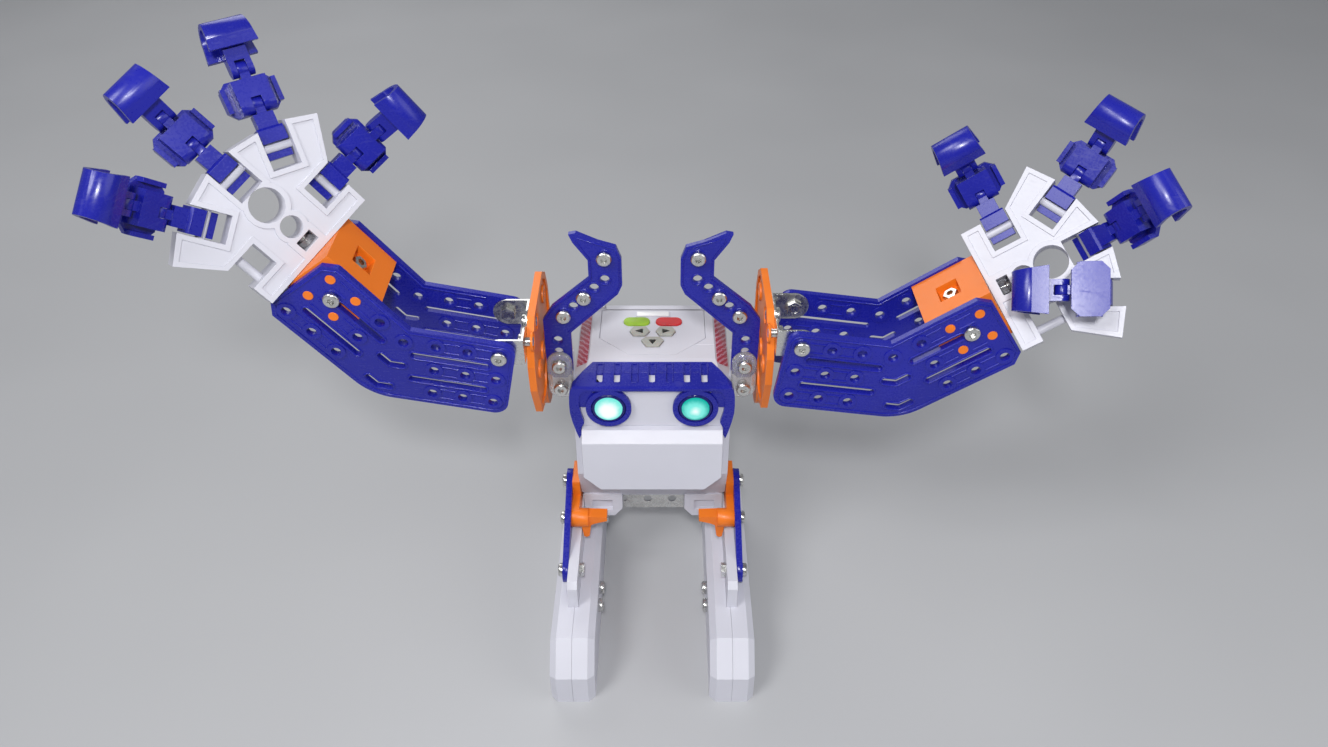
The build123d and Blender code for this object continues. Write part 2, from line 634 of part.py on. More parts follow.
def disc_outline():
    """Side view of the shoulder plate as (y, z)."""
    top = BRACKET_Z + HALF
    front = [(-13.0, top), (-22.0, top - 6.5), (-26.5, top - 17.0), (-26.5, 147.0), (-19.0, 128.0), (-8.0, 124.0)]
    middle = 3.0
    return front + [(2 * middle - y, z) for y, z in reversed(front)]


def disc_holes():
    """Holes of the shoulder plate: two rows across and a column down to the hub."""
    places = [(bracket_bolt_y(0), BRACKET_Z), (bracket_bolt_y(1), BRACKET_Z)]
    places += [(3 + PITCH * k, BRACKET_Z - 2 * PITCH) for k in (-1, 0, 1)]
    places += [(3 + PITCH * 1.3, BRACKET_Z - HALF)]
    return places


def bracket_bolt_y(k):
    """Where the front (0) and rear (1) angle bracket is bolted to the shoulder plate."""
    front = ARM_FRONT_Y + ARM_T + RUN_GAP
    rear = ARM_FRONT_Y + ARM_T + ARM_GAP - RUN_GAP
    return front + HALF + STEEL_T if k == 0 else rear - HALF - STEEL_T


def shoulder_disc():
    """Orange plate in the sagittal plane with its hub, ribs and holes, on the +X side."""
    inner_x, outer_x = DISC_X
    skin = inner_x + DISC_RIB
    plate = outline_yz(disc_outline(), skin, outer_x)
    rim = outline_yz(disc_outline(), inner_x, skin)
    shrink = [(3 + (y - 3) * 0.9, 150.5 + (z - 150.5) * 0.9) for y, z in disc_outline()]
    rim -= outline_yz(shrink, inner_x - 1, skin + 1)
    plate += rim
    for y, z in disc_holes():
        plate += rod((inner_x, y, z), (1, 0, 0), 8.4, DISC_RIB + 0.1)
    plate += rod((inner_x, TURN_Y, TURN_Z), (1, 0, 0), 26, outer_x - inner_x)
    plate += rod((HUB_X[0], TURN_Y, TURN_Z), (1, 0, 0), HUB_D, outer_x - HUB_X[0])
    plate -= rod((HUB_X[0] - 1, TURN_Y, TURN_Z), (1, 0, 0), SHAFT_D + 2 * THREAD_GAP, HUB_X[1] - HUB_X[0] + 0.2)
    for y, z in disc_holes():
        plate -= bolt_hole((inner_x - 1, y, z), (1, 0, 0), 6)
    for y, z in [(bracket_bolt_y(0), BRACKET_Z), (bracket_bolt_y(1), BRACKET_Z)]:
        plate -= rod((inner_x - 1, y, z), (1, 0, 0), NUT_D + 0.4, DISC_RIB + 1)
    return plate


def angle_bracket(tab_y, towards):
    """Round-ended steel angle: one tab carries the arm pivot, the other is bolted to the shoulder plate."""
    x0 = DISC_X[1] + SEAT_GAP
    tab = block((x0, PIVOT_X), (tab_y, tab_y + STEEL_T), (PIVOT_Z - HALF, PIVOT_Z + HALF))
    tab += rod((PIVOT_X, tab_y, PIVOT_Z), (0, 1, 0), PITCH, STEEL_T)
    near = tab_y if towards > 0 else tab_y + STEEL_T
    bolt_y = near + towards * (HALF + STEEL_T)
    leg = block((x0, x0 + STEEL_T), (near, bolt_y), (PIVOT_Z - HALF, PIVOT_Z + HALF))
    leg += rod((x0, bolt_y, PIVOT_Z), (1, 0, 0), PITCH, STEEL_T)
    whole = tab + leg
    whole -= bolt_hole((PIVOT_X, tab_y - 1, PIVOT_Z), (0, 1, 0), 4)
    return whole - bolt_hole((x0 - 1, bolt_y, PIVOT_Z), (1, 0, 0), 4)


def arm_brackets():
    """Both angle brackets of one shoulder with the bolts through them, on the +X side."""
    front_tab = ARM_FRONT_Y + ARM_T + RUN_GAP
    rear_tab = ARM_FRONT_Y + ARM_T + ARM_GAP - RUN_GAP - STEEL_T
    pieces = [angle_bracket(front_tab, 1), angle_bracket(rear_tab, -1)]
    outer = DISC_X[1] + SEAT_GAP + STEEL_T
    for k in range(2):
        pieces.append(bolt((outer, bracket_bolt_y(k), PIVOT_Z), (-1, 0, 0), outer - DISC_X[0] - 0.1))
    grip = ARM_T + RUN_GAP * 2 + STEEL_T
    pieces.append(bolt((PIVOT_X, ARM_FRONT_Y - RUN_GAP, PIVOT_Z), (0, 1, 0), grip + NUT_H))
    pieces.append(nut((PIVOT_X, front_tab + STEEL_T + THREAD_GAP, PIVOT_Z), (0, 1, 0)))
    back = ARM_FRONT_Y + 2 * ARM_T + ARM_GAP + RUN_GAP
    pieces.append(bolt((PIVOT_X, back, PIVOT_Z), (0, -1, 0), grip + NUT_H))
    pieces.append(nut((PIVOT_X, rear_tab - THREAD_GAP, PIVOT_Z), (0, -1, 0)))
    return gather(*pieces)


# ================================================================ arms
# An arm is drawn flat: a runs outwards from the pivot, b upwards, both in the plane of its plates.
def bent(along, across):
    """A point of the outer length: along it from the bend corner, and across from its top edge."""
    turn = radians(BEND_DEG)
    return (BEND_A + along * cos(turn) - across * sin(turn), HALF + along * sin(turn) + across * cos(turn))


def plate_outline():
    """Outline of an arm plate with its bend and clipped outer corners, as a face in the XY plane."""
    reach = ARM_W * tan(radians(BEND_DEG / 2))
    low = HALF - ARM_W
    apex = (BEND_A + reach, low)
    corners = [(-HALF, HALF), (BEND_A, HALF), bent(OUT_END - END_CHAMFER, 0), bent(OUT_END, -END_CHAMFER),
               bent(OUT_END, -ARM_W + END_CHAMFER), bent(OUT_END - END_CHAMFER, -ARM_W), apex, (-HALF, low)]
    face = make_face(Polyline(*corners, close=True))

    def near(point):
        return face.vertices().sort_by_distance((*point, 0))[0]

    face = fillet(near(apex), BEND_R)
    for corner in ((-HALF, low), (-HALF, HALF)):
        vertex = face.vertices().sort_by_distance((*corner, 0))[0]
        face = fillet(vertex, INNER_CORNER_R if corner[1] == low else INNER_CORNER_R - 1)
    return face


def inner_holes():
    return [(PITCH * column, -PITCH * row) for column in range(3) for row in range(3)]


def outer_holes():
    places = [bent(OUT_FIRST, -HALF)]
    places += [bent(OUT_FIRST + PITCH * column, -HALF - PITCH * row) for column in (1, 2, 3) for row in range(3)]
    return places


def peg_holes():
    """The four holes round the wrist screw that the wrist block plugs into."""
    return [bent(OUT_FIRST + PITCH * column, -HALF - PITCH * row) for column in (2, 3) for row in (0, 1)]


def wrist_screw_place():
    return bent(OUT_FIRST + PITCH * 2.5, -PITCH)


def long_slot(start, end):
    """A slot with round ends between two points of the plate."""
    return SlotCenterToCenter(1, 1) if start == end else slot_between(start, end)


def slot_between(start, end):
    span = ((end[0] - start[0]) ** 2 + (end[1] - start[1]) ** 2) ** 0.5
    turn = degrees(atan2(end[1] - start[1], end[0] - start[0]))
    middle = ((start[0] + end[0]) / 2, (start[1] + end[1]) / 2)
    return Pos(*middle) * Rot(0, 0, turn) * SlotCenterToCenter(span, SLOT_WIDE)


def bend_slot(row):
    """A slot that follows a row of holes round the bend."""
    depth = HALF + PITCH * row
    corner = (BEND_A + depth * tan(radians(BEND_DEG / 2)), HALF - depth)
    start = (corner[0] - 5.0, corner[1])
    turn = radians(BEND_DEG)
    end = (corner[0] + 5.0 * cos(turn), corner[1] + 5.0 * sin(turn))
    return slot_between(start, corner) + slot_between(corner, end)


def arm_slots():
    turn_start = BEND_A - 2.0
    cuts = slot_between((4.6, -HALF), (turn_start, -HALF)) + slot_between((4.6, -HALF - PITCH), (turn_start, -HALF - PITCH))
    cuts += slot_between(bent(3.5, -PITCH), bent(25.0, -PITCH))
    cuts += slot_between(bent(4.5, -2 * PITCH), bent(31.0, -2 * PITCH))
    return cuts + bend_slot(1) + bend_slot(2)


def arm_plate(pads):
    """One perforated plate lying on z = 0, its visible face at z = ARM_T."""
    face = plate_outline()
    pivot = (0.0, 0.0)
    holes = [p for p in inner_holes() + outer_holes()]
    pegged = peg_holes()
    for place in holes:
        face -= Pos(*place) * Circle(HOLE_D / 2)
    face -= arm_slots()
    face -= Pos(*wrist_screw_place()) * Circle(HOLE_D / 2)
    plate = extrude(face, amount=ARM_T)
    if not pads:
        return plate
    rings = None
    for place in holes:
        if place == pivot or place in pegged:
            continue
        ring = Pos(*place, ARM_T) * extrude(Circle(PAD_D / 2) - Circle(HOLE_D / 2), amount=PAD_H)
        rings = ring if rings is None else rings + ring
    return plate + (rings - Pos(0, 0, ARM_T) * extrude(arm_slots(), amount=PAD_H))


def stand_up(flat, y_plane):
    """Moves a flat arm piece, whose face looks along +z, to the arm's place: that face looks along -Y."""
    where = Plane(origin=(PIVOT_X, y_plane, PIVOT_Z), x_dir=(1, 0, 0), z_dir=(0, -1, 0))
    return where.location * flat


def arm_plates():
    """Front and rear plate, both with their raised rings to the front, inner length level."""
    plate = arm_plate(pads=True)
    front_back = ARM_FRONT_Y + ARM_T
    return gather(stand_up(plate, front_back), stand_up(plate, front_back + ARM_GAP + ARM_T))


def wrist_block():
    """Orange block between the plates with pegs into both; the palm turns against its outer end."""
    a0, a1 = BLOCK_A
    b0, b1 = BLOCK_B
    corners = [bent(a0, b0), bent(a1, b0), bent(a1, b1), bent(a0 + 6, b1), bent(a0, b1 + 6)]
    deep = ARM_GAP - 2 * SEAT_GAP
    body = extrude(make_face(Polyline(*corners, close=True)), amount=deep)
    pocket = [bent(a0 + 9, b0 + 1), bent(a0 + 18, b0 + 1), bent(a0 + 18, b0 - 4), bent(a0 + 9, b0 - 4)]
    body -= Pos(0, 0, deep / 2 - 5) * extrude(make_face(Polyline(*pocket, close=True)), amount=10)
    for place in peg_holes():
        body += Pos(*place, -SEAT_GAP - ARM_T - 0.3) * extrude(Circle(PEG_D / 2), amount=deep + 2 * (SEAT_GAP + ARM_T + 0.3))
    screw = wrist_screw_place()
    body -= Pos(*screw, -1) * extrude(Circle(HOLE_D / 2), amount=deep + 2)
    body = stand_up(body, ARM_FRONT_Y + ARM_T + ARM_GAP - SEAT_GAP)
    bore = rod(hand_place(BLOCK_A[1] - PALM_BASE_A - 9), hand_way(), HOLE_D, 12)
    return body - bore


def arm_screws():
    """The cross screws through the plates and wrist block, one at each face."""
    place = wrist_screw_place()
    centre = (PIVOT_X + place[0], PIVOT_Z + place[1])
    front = (centre[0], ARM_FRONT_Y - SEAT_GAP, centre[1])
    back = (centre[0], ARM_FRONT_Y + 2 * ARM_T + ARM_GAP + SEAT_GAP, centre[1])
    length = ARM_T + 6.0
    return gather(bolt(front, (0, 1, 0), length), bolt(back, (0, -1, 0), length))


def hand_way():
    """Direction of the hand axis before the arm is raised."""
    return (cos(radians(BEND_DEG)), 0, sin(radians(BEND_DEG)))


def hand_place(along, up=0.0):
    """A point on the hand axis, measured from the palm's base, before the arm is raised."""
    a, b = bent(PALM_BASE_A + along, -PITCH + up)
    return (PIVOT_X + a, ARM_FRONT_Y + ARM_T + ARM_GAP / 2, PIVOT_Z + b)


# ================================================================ hands
# A palm lies flat in its own frame: x from the base to the fingers, y to the head side, z out of its face.
def socket_box(place, grow=0.0):
    """The space of a socket: from its closed end out past the edge of the palm."""
    a, q, turn = place
    slot = block((-SOCKET_IN, 30), (-SOCKET_W / 2 - grow, SOCKET_W / 2 + grow), (-PALM_T, PALM_T))
    if grow:
        slot += block((-SOCKET_IN - grow, 0), (-SOCKET_W / 2 - grow, SOCKET_W / 2 + grow), (-PALM_T, PALM_T))
    return Pos(a, q, 0) * Rot(0, 0, turn) * slot


def socket_places():
    found = []
    for a, q, turn in SOCKETS.values():
        found.append((a, q, turn))
        if q:
            found.append((a, -q, -turn))
    return found


def palm_edge(inset):
    """Outline of the palm as (x, y) points, moved inwards towards its middle by inset."""
    half = PALM_BASE_W / 2
    points = [(inset, half - inset), (SIDE_BLOCK, half - inset), (18.9, 27.2 - inset * 0.8),
              (LOBE_TIP[0] - inset * 0.2, LOBE_TIP[1] - inset * 1.4), (LOBE_NEAR[0] - inset, LOBE_NEAR[1] - inset * 0.4),
              (LOBE_MID[0] - inset, LOBE_MID[1]), (LOBE_IN[0] - inset, LOBE_IN[1])]
    return points + [(x, -y) for x, y in reversed(points)]


def palm():
    """White hand plate with five sockets, each crossed by a bar, and two holes, face up, centred on z = 0."""
    half = PALM_T / 2
    body = outline_xy(palm_edge(0), -half, half)
    panel = outline_xy(palm_edge(PALM_PANEL_IN), half - PALM_PANEL_DEEP, half + 1)
    for place in socket_places():
        panel -= socket_box(place, PALM_PANEL_IN)
    for along, wide in (PALM_HOLE, PALM_SMALL_HOLE):
        panel -= rod((along, 0, -half), (0, 0, 1), wide + 2 * PALM_PANEL_IN, 2 * PALM_T)
    panel -= block((-1, 2 * WRIST_SCREW_A - 2), (-6, 6), (-PALM_T, PALM_T))
    body = body - panel - mirror(panel, Plane.XY)
    for place in socket_places():
        body -= socket_box(place)
    for along, wide in (PALM_HOLE, PALM_SMALL_HOLE):
        body -= rod((along, 0, -PALM_T), (0, 0, 1), wide, 2 * PALM_T)
    for a, q, turn in socket_places():
        bar = rod((0, -SOCKET_W / 2 - 1, 0), (0, 1, 0), BAR_D, SOCKET_W + 2)
        body += Pos(a, q, 0) * Rot(0, 0, turn) * bar
    # the nut pocket and the hole of the screw that the hand turns on
    body -= block((WRIST_SCREW_A - 2.6, WRIST_SCREW_A + 2.0), (-3.6, 3.6), (-3.4, half + 1))
    body -= rod((-1, 0, 0), (1, 0, 0), HOLE_D, WRIST_SCREW_A)
    return body


def wrist_pin():
    """The screw that the palm turns on, with its nut in the palm's pocket, drawn in the palm's frame."""
    shank = rod((-9, 0, 0), (1, 0, 0), BOLT_D, 9 + WRIST_SCREW_A + 1.4)
    pin_nut = hexagon((WRIST_SCREW_A - 2.4, 0, 0), (1, 0, 0), 6.6, 2.6)
    return shank + pin_nut


def finger_frame(place, bends, step):
    """Location of a finger piece in the palm: step 0 is the knuckle, 1 the middle piece, 2 the tip."""
    a, q, turn = place
    where = Pos(a, q, 0) * Rot(0, 0, turn) * Rot(0, -bends[0], 0)
    if step > 0:
        where = where * Pos(LINK_LEN, 0, 0) * Rot(0, -bends[1], 0)
    if step > 1:
        where = where * Pos(MID_LEN, 0, 0) * Rot(0, -bends[2], 0)
    return where


def tongue(length):
    """The eye that a hinge pin passes, centred on x = 0."""
    eye = rod((0, -HINGE_TONGUE / 2, 0), (0, 1, 0), KNUCKLE_D, HINGE_TONGUE)
    return eye + block((-length, 0), (-HINGE_TONGUE / 2, HINGE_TONGUE / 2), (-TONGUE_T / 2, TONGUE_T / 2))


def fork_cut():
    """Space for a tongue at x = 0, with room to turn."""
    reach = FORK_CLEAR + 0.2
    room = rod((0, -HINGE_TONGUE / 2 - FINGER_GAP, 0), (0, 1, 0), 2 * reach, HINGE_TONGUE + 2 * FINGER_GAP)
    return room + block((-12, 0), (-HINGE_TONGUE / 2 - FINGER_GAP, HINGE_TONGUE / 2 + FINGER_GAP), (-reach, reach))


def finger_knuckle():
    """Clip round the palm's bar, and the neck out to the second hinge."""
    clip = block((-CLIP_BACK, CLIP_FRONT), (-CLIP_W / 2, CLIP_W / 2), (-CLIP_T / 2, CLIP_T / 2))
    clip = chamfer(clip.edges().filter_by(Axis.Y), 0.8)
    # the clip is open towards the palm's face, so that it snaps over the bar
    clip -= block((-CLIP_MOUTH, CLIP_MOUTH), (-CLIP_W, CLIP_W), (0, CLIP_T))
    clip -= block((-CLIP_BACK - 1, -CLIP_MOUTH + 0.1), (-CLIP_W, CLIP_W), (CLIP_LIP, CLIP_T))
    neck = block((CLIP_FRONT, LINK_LEN - FORK_CLEAR), (-NECK_W / 2, NECK_W / 2), (-NECK_T / 2, NECK_T / 2))
    body = clip + neck + Pos(LINK_LEN, 0, 0) * tongue(4)
    return body - rod((0, -CLIP_W, 0), (0, 1, 0), BAR_D + 2 * FINGER_GAP, 2 * CLIP_W) - hinge_bore(LINK_LEN)


def hinge_bore(along):
    return rod((along, -20, 0), (0, 1, 0), HINGE_PIN_D + 2 * FINGER_GAP, 40)


def hinge_pin(along, width):
    return rod((along, -width / 2, 0), (0, 1, 0), HINGE_PIN_D, width)


def finger_middle():
    """Box with the wide armour plate on its back; its pin sits in the knuckle's tongue."""
    body = block((0, MID_LEN - FORK_CLEAR), (-MID_W / 2, MID_W / 2), (-MID_T / 2, MID_T / 2))
    body += rod((0, -MID_W / 2, 0), (0, 1, 0), MID_T, MID_W)
    low = -MID_T / 2
    half, span = PLATE_W / 2, PLATE_L
    start = -3.2
    back = outline_xy([(start, -half + 3), (start + 3, -half), (start + span - 3, -half), (start + span, -half + 3),
                       (start + span, half - 3), (start + span - 3, half), (start + 3, half), (start, half - 3)],
                      low - PLATE_T, low + 0.1)
    ears = None
    for side in (-1, 1):
        ear = block((start + 2.2, start + span - 2.2), (side * half, side * (half - 1.8)), (low - 0.2, low + 3.2))
        ears = ear if ears is None else ears + ear
    body = body + back + ears - fork_cut() + hinge_pin(0, MID_W - 2)
    return body + Pos(MID_LEN, 0, 0) * tongue(5) - hinge_bore(MID_LEN)


def hood_profile(inset):
    """Side view of the hood as a face in the XZ plane: flat back and front, round nose."""
    high, start, end = TIP_T / 2 - inset, TIP_ROOT + inset * 0.5, TIP_LEN - inset
    nose = TIP_LEN - 7.4
    low_end, high_end = (nose, -high), (nose + 0.8, high)
    edges = [Line((start, -high), low_end), ThreePointArc(low_end, (end, -0.6), high_end),
             Line(high_end, (start + 2.0, high)), Line((start + 2.0, high), (start, -high))]
    return Plane.XZ * make_face(edges)


def finger_tip():
    """Root block round the third hinge, and the hollow hood that wraps over the end of the finger."""
    half = NECK_W / 2 + 0.4
    root = block((0, TIP_ROOT + 3), (-half, half), (-NECK_T / 2, NECK_T / 2))
    root += rod((0, -half, 0), (0, 1, 0), NECK_T, 2 * half)
    root = root - fork_cut() + hinge_pin(0, NECK_W - 1)
    solid = extrude(hood_profile(0), amount=TIP_W / 2, both=True)
    hollow = extrude(hood_profile(TIP_WALL), amount=TIP_W, both=True)
    rib = solid & block((TIP_ROOT, TIP_LEN - 2), (-NECK_W / 2, NECK_W / 2), (-TIP_T, TIP_T))
    mouth = block((TIP_ROOT - 0.5, TIP_ROOT + 3.2), (-TIP_W, TIP_W), (-TIP_T / 2 + TIP_WALL, TIP_T / 2 + 1))
    taper = outline_xy([(TIP_ROOT - 1, -TIP_W / 2), (TIP_LEN, -TIP_END_W / 2), (TIP_LEN, TIP_END_W / 2),
                        (TIP_ROOT - 1, TIP_W / 2)], -TIP_T, TIP_T)
    hood = (solid - hollow + rib - mouth) & taper
    return hood + root


# ================================================================ placing an arm's pieces
def raise_arm(side):
    """Turns an arm about its pivot and the shoulder about the shaft, then mirrors it to its side."""
    pose = ARM_POSE[side]
    up = Pos(PIVOT_X, 0, PIVOT_Z) * Rot(0, -pose["raise"], 0) * Pos(-PIVOT_X, 0, -PIVOT_Z)
    return lean_shoulder(side) * up


def lean_shoulder(side):
    """Swing of the whole shoulder about the shaft, its top towards the front for a positive lean."""
    lean = ARM_POSE[side]["lean"]
    return Pos(0, TURN_Y, TURN_Z) * Rot(lean, 0, 0) * Pos(0, -TURN_Y, -TURN_Z)


def hand_frame(side):
    """The palm's frame on a level arm of the +X side: x along the hand axis, z out of its face."""
    base = hand_place(0)
    level = Plane(origin=base, x_dir=hand_way(), z_dir=(0, -1, 0))
    # seen along the hand axis the palm turns so that its head side moves away from the front
    return level.location * Rot(-ARM_POSE[side]["twist"], 0, 0)


def to_side(side, shape):
    return shape if side > 0 else mirrored(shape)


def finger_place(side, name):
    socket, sign, _ = FINGERS[side][name]
    a, q, turn = SOCKETS[socket]
    return (a, q * sign, turn * sign) if sign else (a, q, turn)


def arm_nodes(side):
    """Every node of one arm, in its pose at rest."""
    tag = SIDE_NAME[side]
    swing, lift = lean_shoulder(side), raise_arm(side)
    hand = lift * hand_frame(side)
    found = {
        f"{tag}_shoulder_plate": swing * shoulder_disc(),
        f"{tag}_shoulder_shaft": swing * shoulder_shaft(),
        f"{tag}_arm_brackets": swing * arm_brackets(),
        f"{tag}_arm_plates": lift * arm_plates(),
        f"{tag}_wrist_block": lift * wrist_block(),
        f"{tag}_arm_screws": gather(lift * arm_screws(), hand * wrist_pin()),
        f"{tag}_palm": hand * palm(),
    }
    makers = (("knuckle", finger_knuckle), ("link", finger_middle), ("tip", finger_tip))
    for name, (_, _, bends) in FINGERS[side].items():
        for step, (piece, maker) in enumerate(makers):
            where = hand * finger_frame(finger_place(side, name), bends, step)
            found[f"{tag}_{name}_{piece}"] = where * maker()
    return {name: to_side(side, shape) for name, shape in found.items()}


# ================================================================ horns and links
def horn_plate():
    """Perforated blue strip, bent inwards and hooked at its top, on the +X side."""
    x, low = LINK_X, CONNECTOR_Z
    wide = HORN_HALF_W
    outline = [(x - wide, low + 2), (x - wide + 3, low - 1.5), (x + wide - 3, low - 1.5), (x + wide, low + 2),
               (x + wide, 160.0), (x + 1.5, 167.0), (x - 15.3, 181.5), (x - 15.3, 190.5), (x - 9.3, 199.0),
               (x - 7.7, 203.0), (x - 10.8, 203.6), (x - 19.8, 199.4), (x - 27.5, 197.0), (x - 29.7, 191.0),
               (x - 29.7, 178.0), (x - 27.7, 173.4),
               (x - wide, 153.0)]
    y_back = CONNECTOR_Y + CONNECTOR_T + SEAT_GAP + HORN_T
    plate = outline_xz(outline, y_back, y_back - HORN_T)
    for hx, hz in horn_holes() + horn_screw_places() + [(x, CONNECTOR_Z + HALF)]:
        plate -= bolt_hole((hx, y_back - HORN_T - 1, hz), (0, 1, 0), HORN_T + 2)
    return plate


def horn_screw_places():
    return [(LINK_X - 22.3, 191.8), (LINK_X - 12.7, 172.0), (LINK_X - 3.3, 162.4)]


def horn_holes():
    return [(LINK_X, CONNECTOR_Z + HALF + PITCH), (LINK_X, CONNECTOR_Z + PITCH), (LINK_X - 22.3, 181.0),
            (LINK_X - 17.5, 176.8), (LINK_X - 8.0, 167.2)]


def clear_link():
    """Clear oval link screwed to the ear on the casing, in front of the horn."""
    face = Plane(origin=(LINK_X, CONNECTOR_Y + CONNECTOR_T, CONNECTOR_Z), x_dir=(0, 0, 1), z_dir=(0, -1, 0))
    link = extrude(face * SlotOverall(2 * PITCH, LINK_W), amount=CONNECTOR_T)
    link = chamfer(link.faces().sort_by(Axis.Y)[0].edges(), 0.7)
    for k in (-1, 1):
        link -= bolt_hole((LINK_X, CONNECTOR_Y - 1, CONNECTOR_Z + k * HALF), (0, 1, 0), CONNECTOR_T + 2)
    return link


def head_screws():
    """Screws of the clear link and of the horn, on the +X side."""
    y_front = CONNECTOR_Y - SEAT_GAP
    stack = CONNECTOR_T + SEAT_GAP * 3 + HORN_T + LUG_T
    found = [bolt((LINK_X, y_front, CONNECTOR_Z + k * HALF), (0, 1, 0), stack) for k in (-1, 1)]
    horn_front = CONNECTOR_Y + CONNECTOR_T  # the heads of the horn screws sit level with the link
    horn_back = horn_front + SEAT_GAP + HORN_T
    for x, z in horn_screw_places():
        found.append(bolt((x, horn_front, z), (0, 1, 0), HORN_T + SEAT_GAP * 2 + NUT_H))
        found.append(nut((x, horn_back + SEAT_GAP, z), (0, 1, 0)))
    return found


# ================================================================ legs
def foot_profile():
    """Side view of a foot: upright toe with a slope over it, as (y, z)."""
    front, back = FOOT_FRONT_Y, FOOT_BACK_Y
    return [(front, 0), (back, 0), (back, TOE_FACE_H), (back - TOE_SLOPE, FOOT_H),
            (front + TOE_SLOPE, FOOT_H), (front, TOE_FACE_H)]


def foot_solid():
    """One foot round x = 0, bevelled along both sides everywhere but at the sole."""
    half = FOOT_W / 2
    body = outline_yz(foot_profile(), -half, half)
    rims = [edge for edge in body.edges() if abs(edge.center().X) > half - 0.1 and edge.center().Z > 0.1]
    return chamfer(rims, FOOT_BEVEL)


def foot_hollow():
    """The room inside a foot, closed by walls all round."""
    wall = FOOT_WALL
    half = FOOT_W / 2 - wall
    front, back, top = FOOT_FRONT_Y + wall, FOOT_BACK_Y - wall, FOOT_H - wall
    outline = [(front, wall), (back, wall), (back, TOE_FACE_H - 1), (back - TOE_SLOPE, top),
               (front + TOE_SLOPE, top), (front, TOE_FACE_H - 1)]
    room = outline_yz(outline, -half, half)
    rims = [edge for edge in room.edges() if abs(edge.center().X) > half - 0.1 and edge.center().Z > top - 5]
    return chamfer(rims, FOOT_BEVEL - 0.6)


def foot_halves():
    """The two halves of the +X foot, meeting on its middle plane; the fin plugs into the top."""
    shell = foot_solid() - foot_hollow()
    far = 200
    halves = []
    for side in (-1, 1):
        cut = block((side * SEAT_GAP, side * far), (-far, far), (-1, far))
        halves.append(Pos(FOOT_X, 0, 0) * (shell & cut))
    fin_room = fin_solid(SEAT_GAP)
    return [half - fin_room - foot_screw_holes() for half in halves]


def fin_outline(gap):
    front, back, top = FIN_FRONT_Y - gap, FIN_BACK_Y + gap, FIN_TOP_Z + gap
    low = FOOT_H - 8 - gap
    return [(front, low), (front, top - 3), (front + 2.7, top), (back - 8, top), (back, top - 8), (back, low)]


def fin_solid(gap):
    return outline_yz(fin_outline(gap), FIN_X[0] - gap, FIN_X[1] + gap)


def leg_fin():
    """White upright that stands out of the foot's top and takes the leg strip."""
    fin = fin_solid(0)
    for y, z in (leg_bolt_places()[2],):
        fin -= bolt_hole((FIN_X[0] - 1, y, z), (1, 0, 0), 10)
    return fin


def foot_screw_places():
    return [(-41.0, 19.0), (-30.0, 19.0), (20.0, 18.0)]


def foot_screw_holes():
    holes = None
    for y, z in foot_screw_places():
        hole = bolt_hole((FOOT_X - FOOT_W, y, z), (1, 0, 0), FOOT_W * 0.9)
        holes = hole if holes is None else holes + hole
    return holes


def leg_bolt_places():
    """(y, z) of the bolts through a leg strip: hip block, hip barrel, foot fin."""
    return [(-1.5 + HALF, FOOT_H + 29.5), (-13.0, FOOT_H + 21.0), (-36.5, FOOT_H + 9.0)]


def leg_strip():
    """Blue strip from the hip down to the fin, with round ends, on the +X side."""
    x0, x1 = FIN_X[1] + SEAT_GAP, FIN_X[1] + SEAT_GAP + LEG_STRIP_T
    half = LEG_W / 2
    strip = None
    places = leg_bolt_places()
    for (y0, z0), (y1, z1) in zip(places, places[1:]):
        span = ((y1 - y0) ** 2 + (z1 - z0) ** 2) ** 0.5
        uy, uz = (y1 - y0) / span, (z1 - z0) / span
        corners = [(y0 - uz * half, z0 + uy * half), (y1 - uz * half, z1 + uy * half),
                   (y1 + uz * half, z1 - uy * half), (y0 + uz * half, z0 - uy * half)]
        piece = outline_yz(corners, x0, x1)
        strip = piece if strip is None else strip + piece
    for y, z in places:
        strip += rod((x0, y, z), (1, 0, 0), LEG_W, x1 - x0)
    for y, z in places:
        strip -= bolt_hole((x0 - 1, y, z), (1, 0, 0), 6)
    return strip


def hip_bracket():
    """Orange bracket on the casing's side: block, barrel in front of it, lever inwards and lobe downwards."""
    x0, x1 = HEAD_HALF_W + SEAM_GAP, FIN_X[1]
    (y0, y1), top = HIP_BLOCK
    low = FIN_TOP_Z + SEAT_GAP
    y, z = leg_bolt_places()[1]
    half = HIP_BARREL_D / 2
    body = block((x0, x1), (y0, y1), (low, top))
    body += block((x0, x1), (y, y0 + 1), (low, z + half))
    body += rod((x0 - 4.5, y, z), (1, 0, 0), HIP_BARREL_D, x1 - x0 + 4.5)
    lever = [(x0 - 4, z - 3.4), (x0 - 4, z + 3.4), (HIP_LEVER_X, z + 3.0), (HIP_LEVER_X, z + 0.4), (x0 - 8, z - 1.4)]
    body += outline_xz(lever, y + 3.0, y - 3.0)
    inner, lobe_z = FIN_X[0] - SEAM_GAP, z - HIP_LOBE_DROP
    lobe = [(inner - 5.0, z), (inner, z), (inner, z - 4), (inner - 0.8, lobe_z + 0.6),
            (inner - 2.2, lobe_z), (inner - 3.6, lobe_z + 1.0)]
    body += outline_xz(lobe, y + 3.0, y - 3.0)
    for hy, hz in leg_bolt_places()[:2]:
        body -= bolt_hole((x0 - 6, hy, hz), (1, 0, 0), 20)
    return body


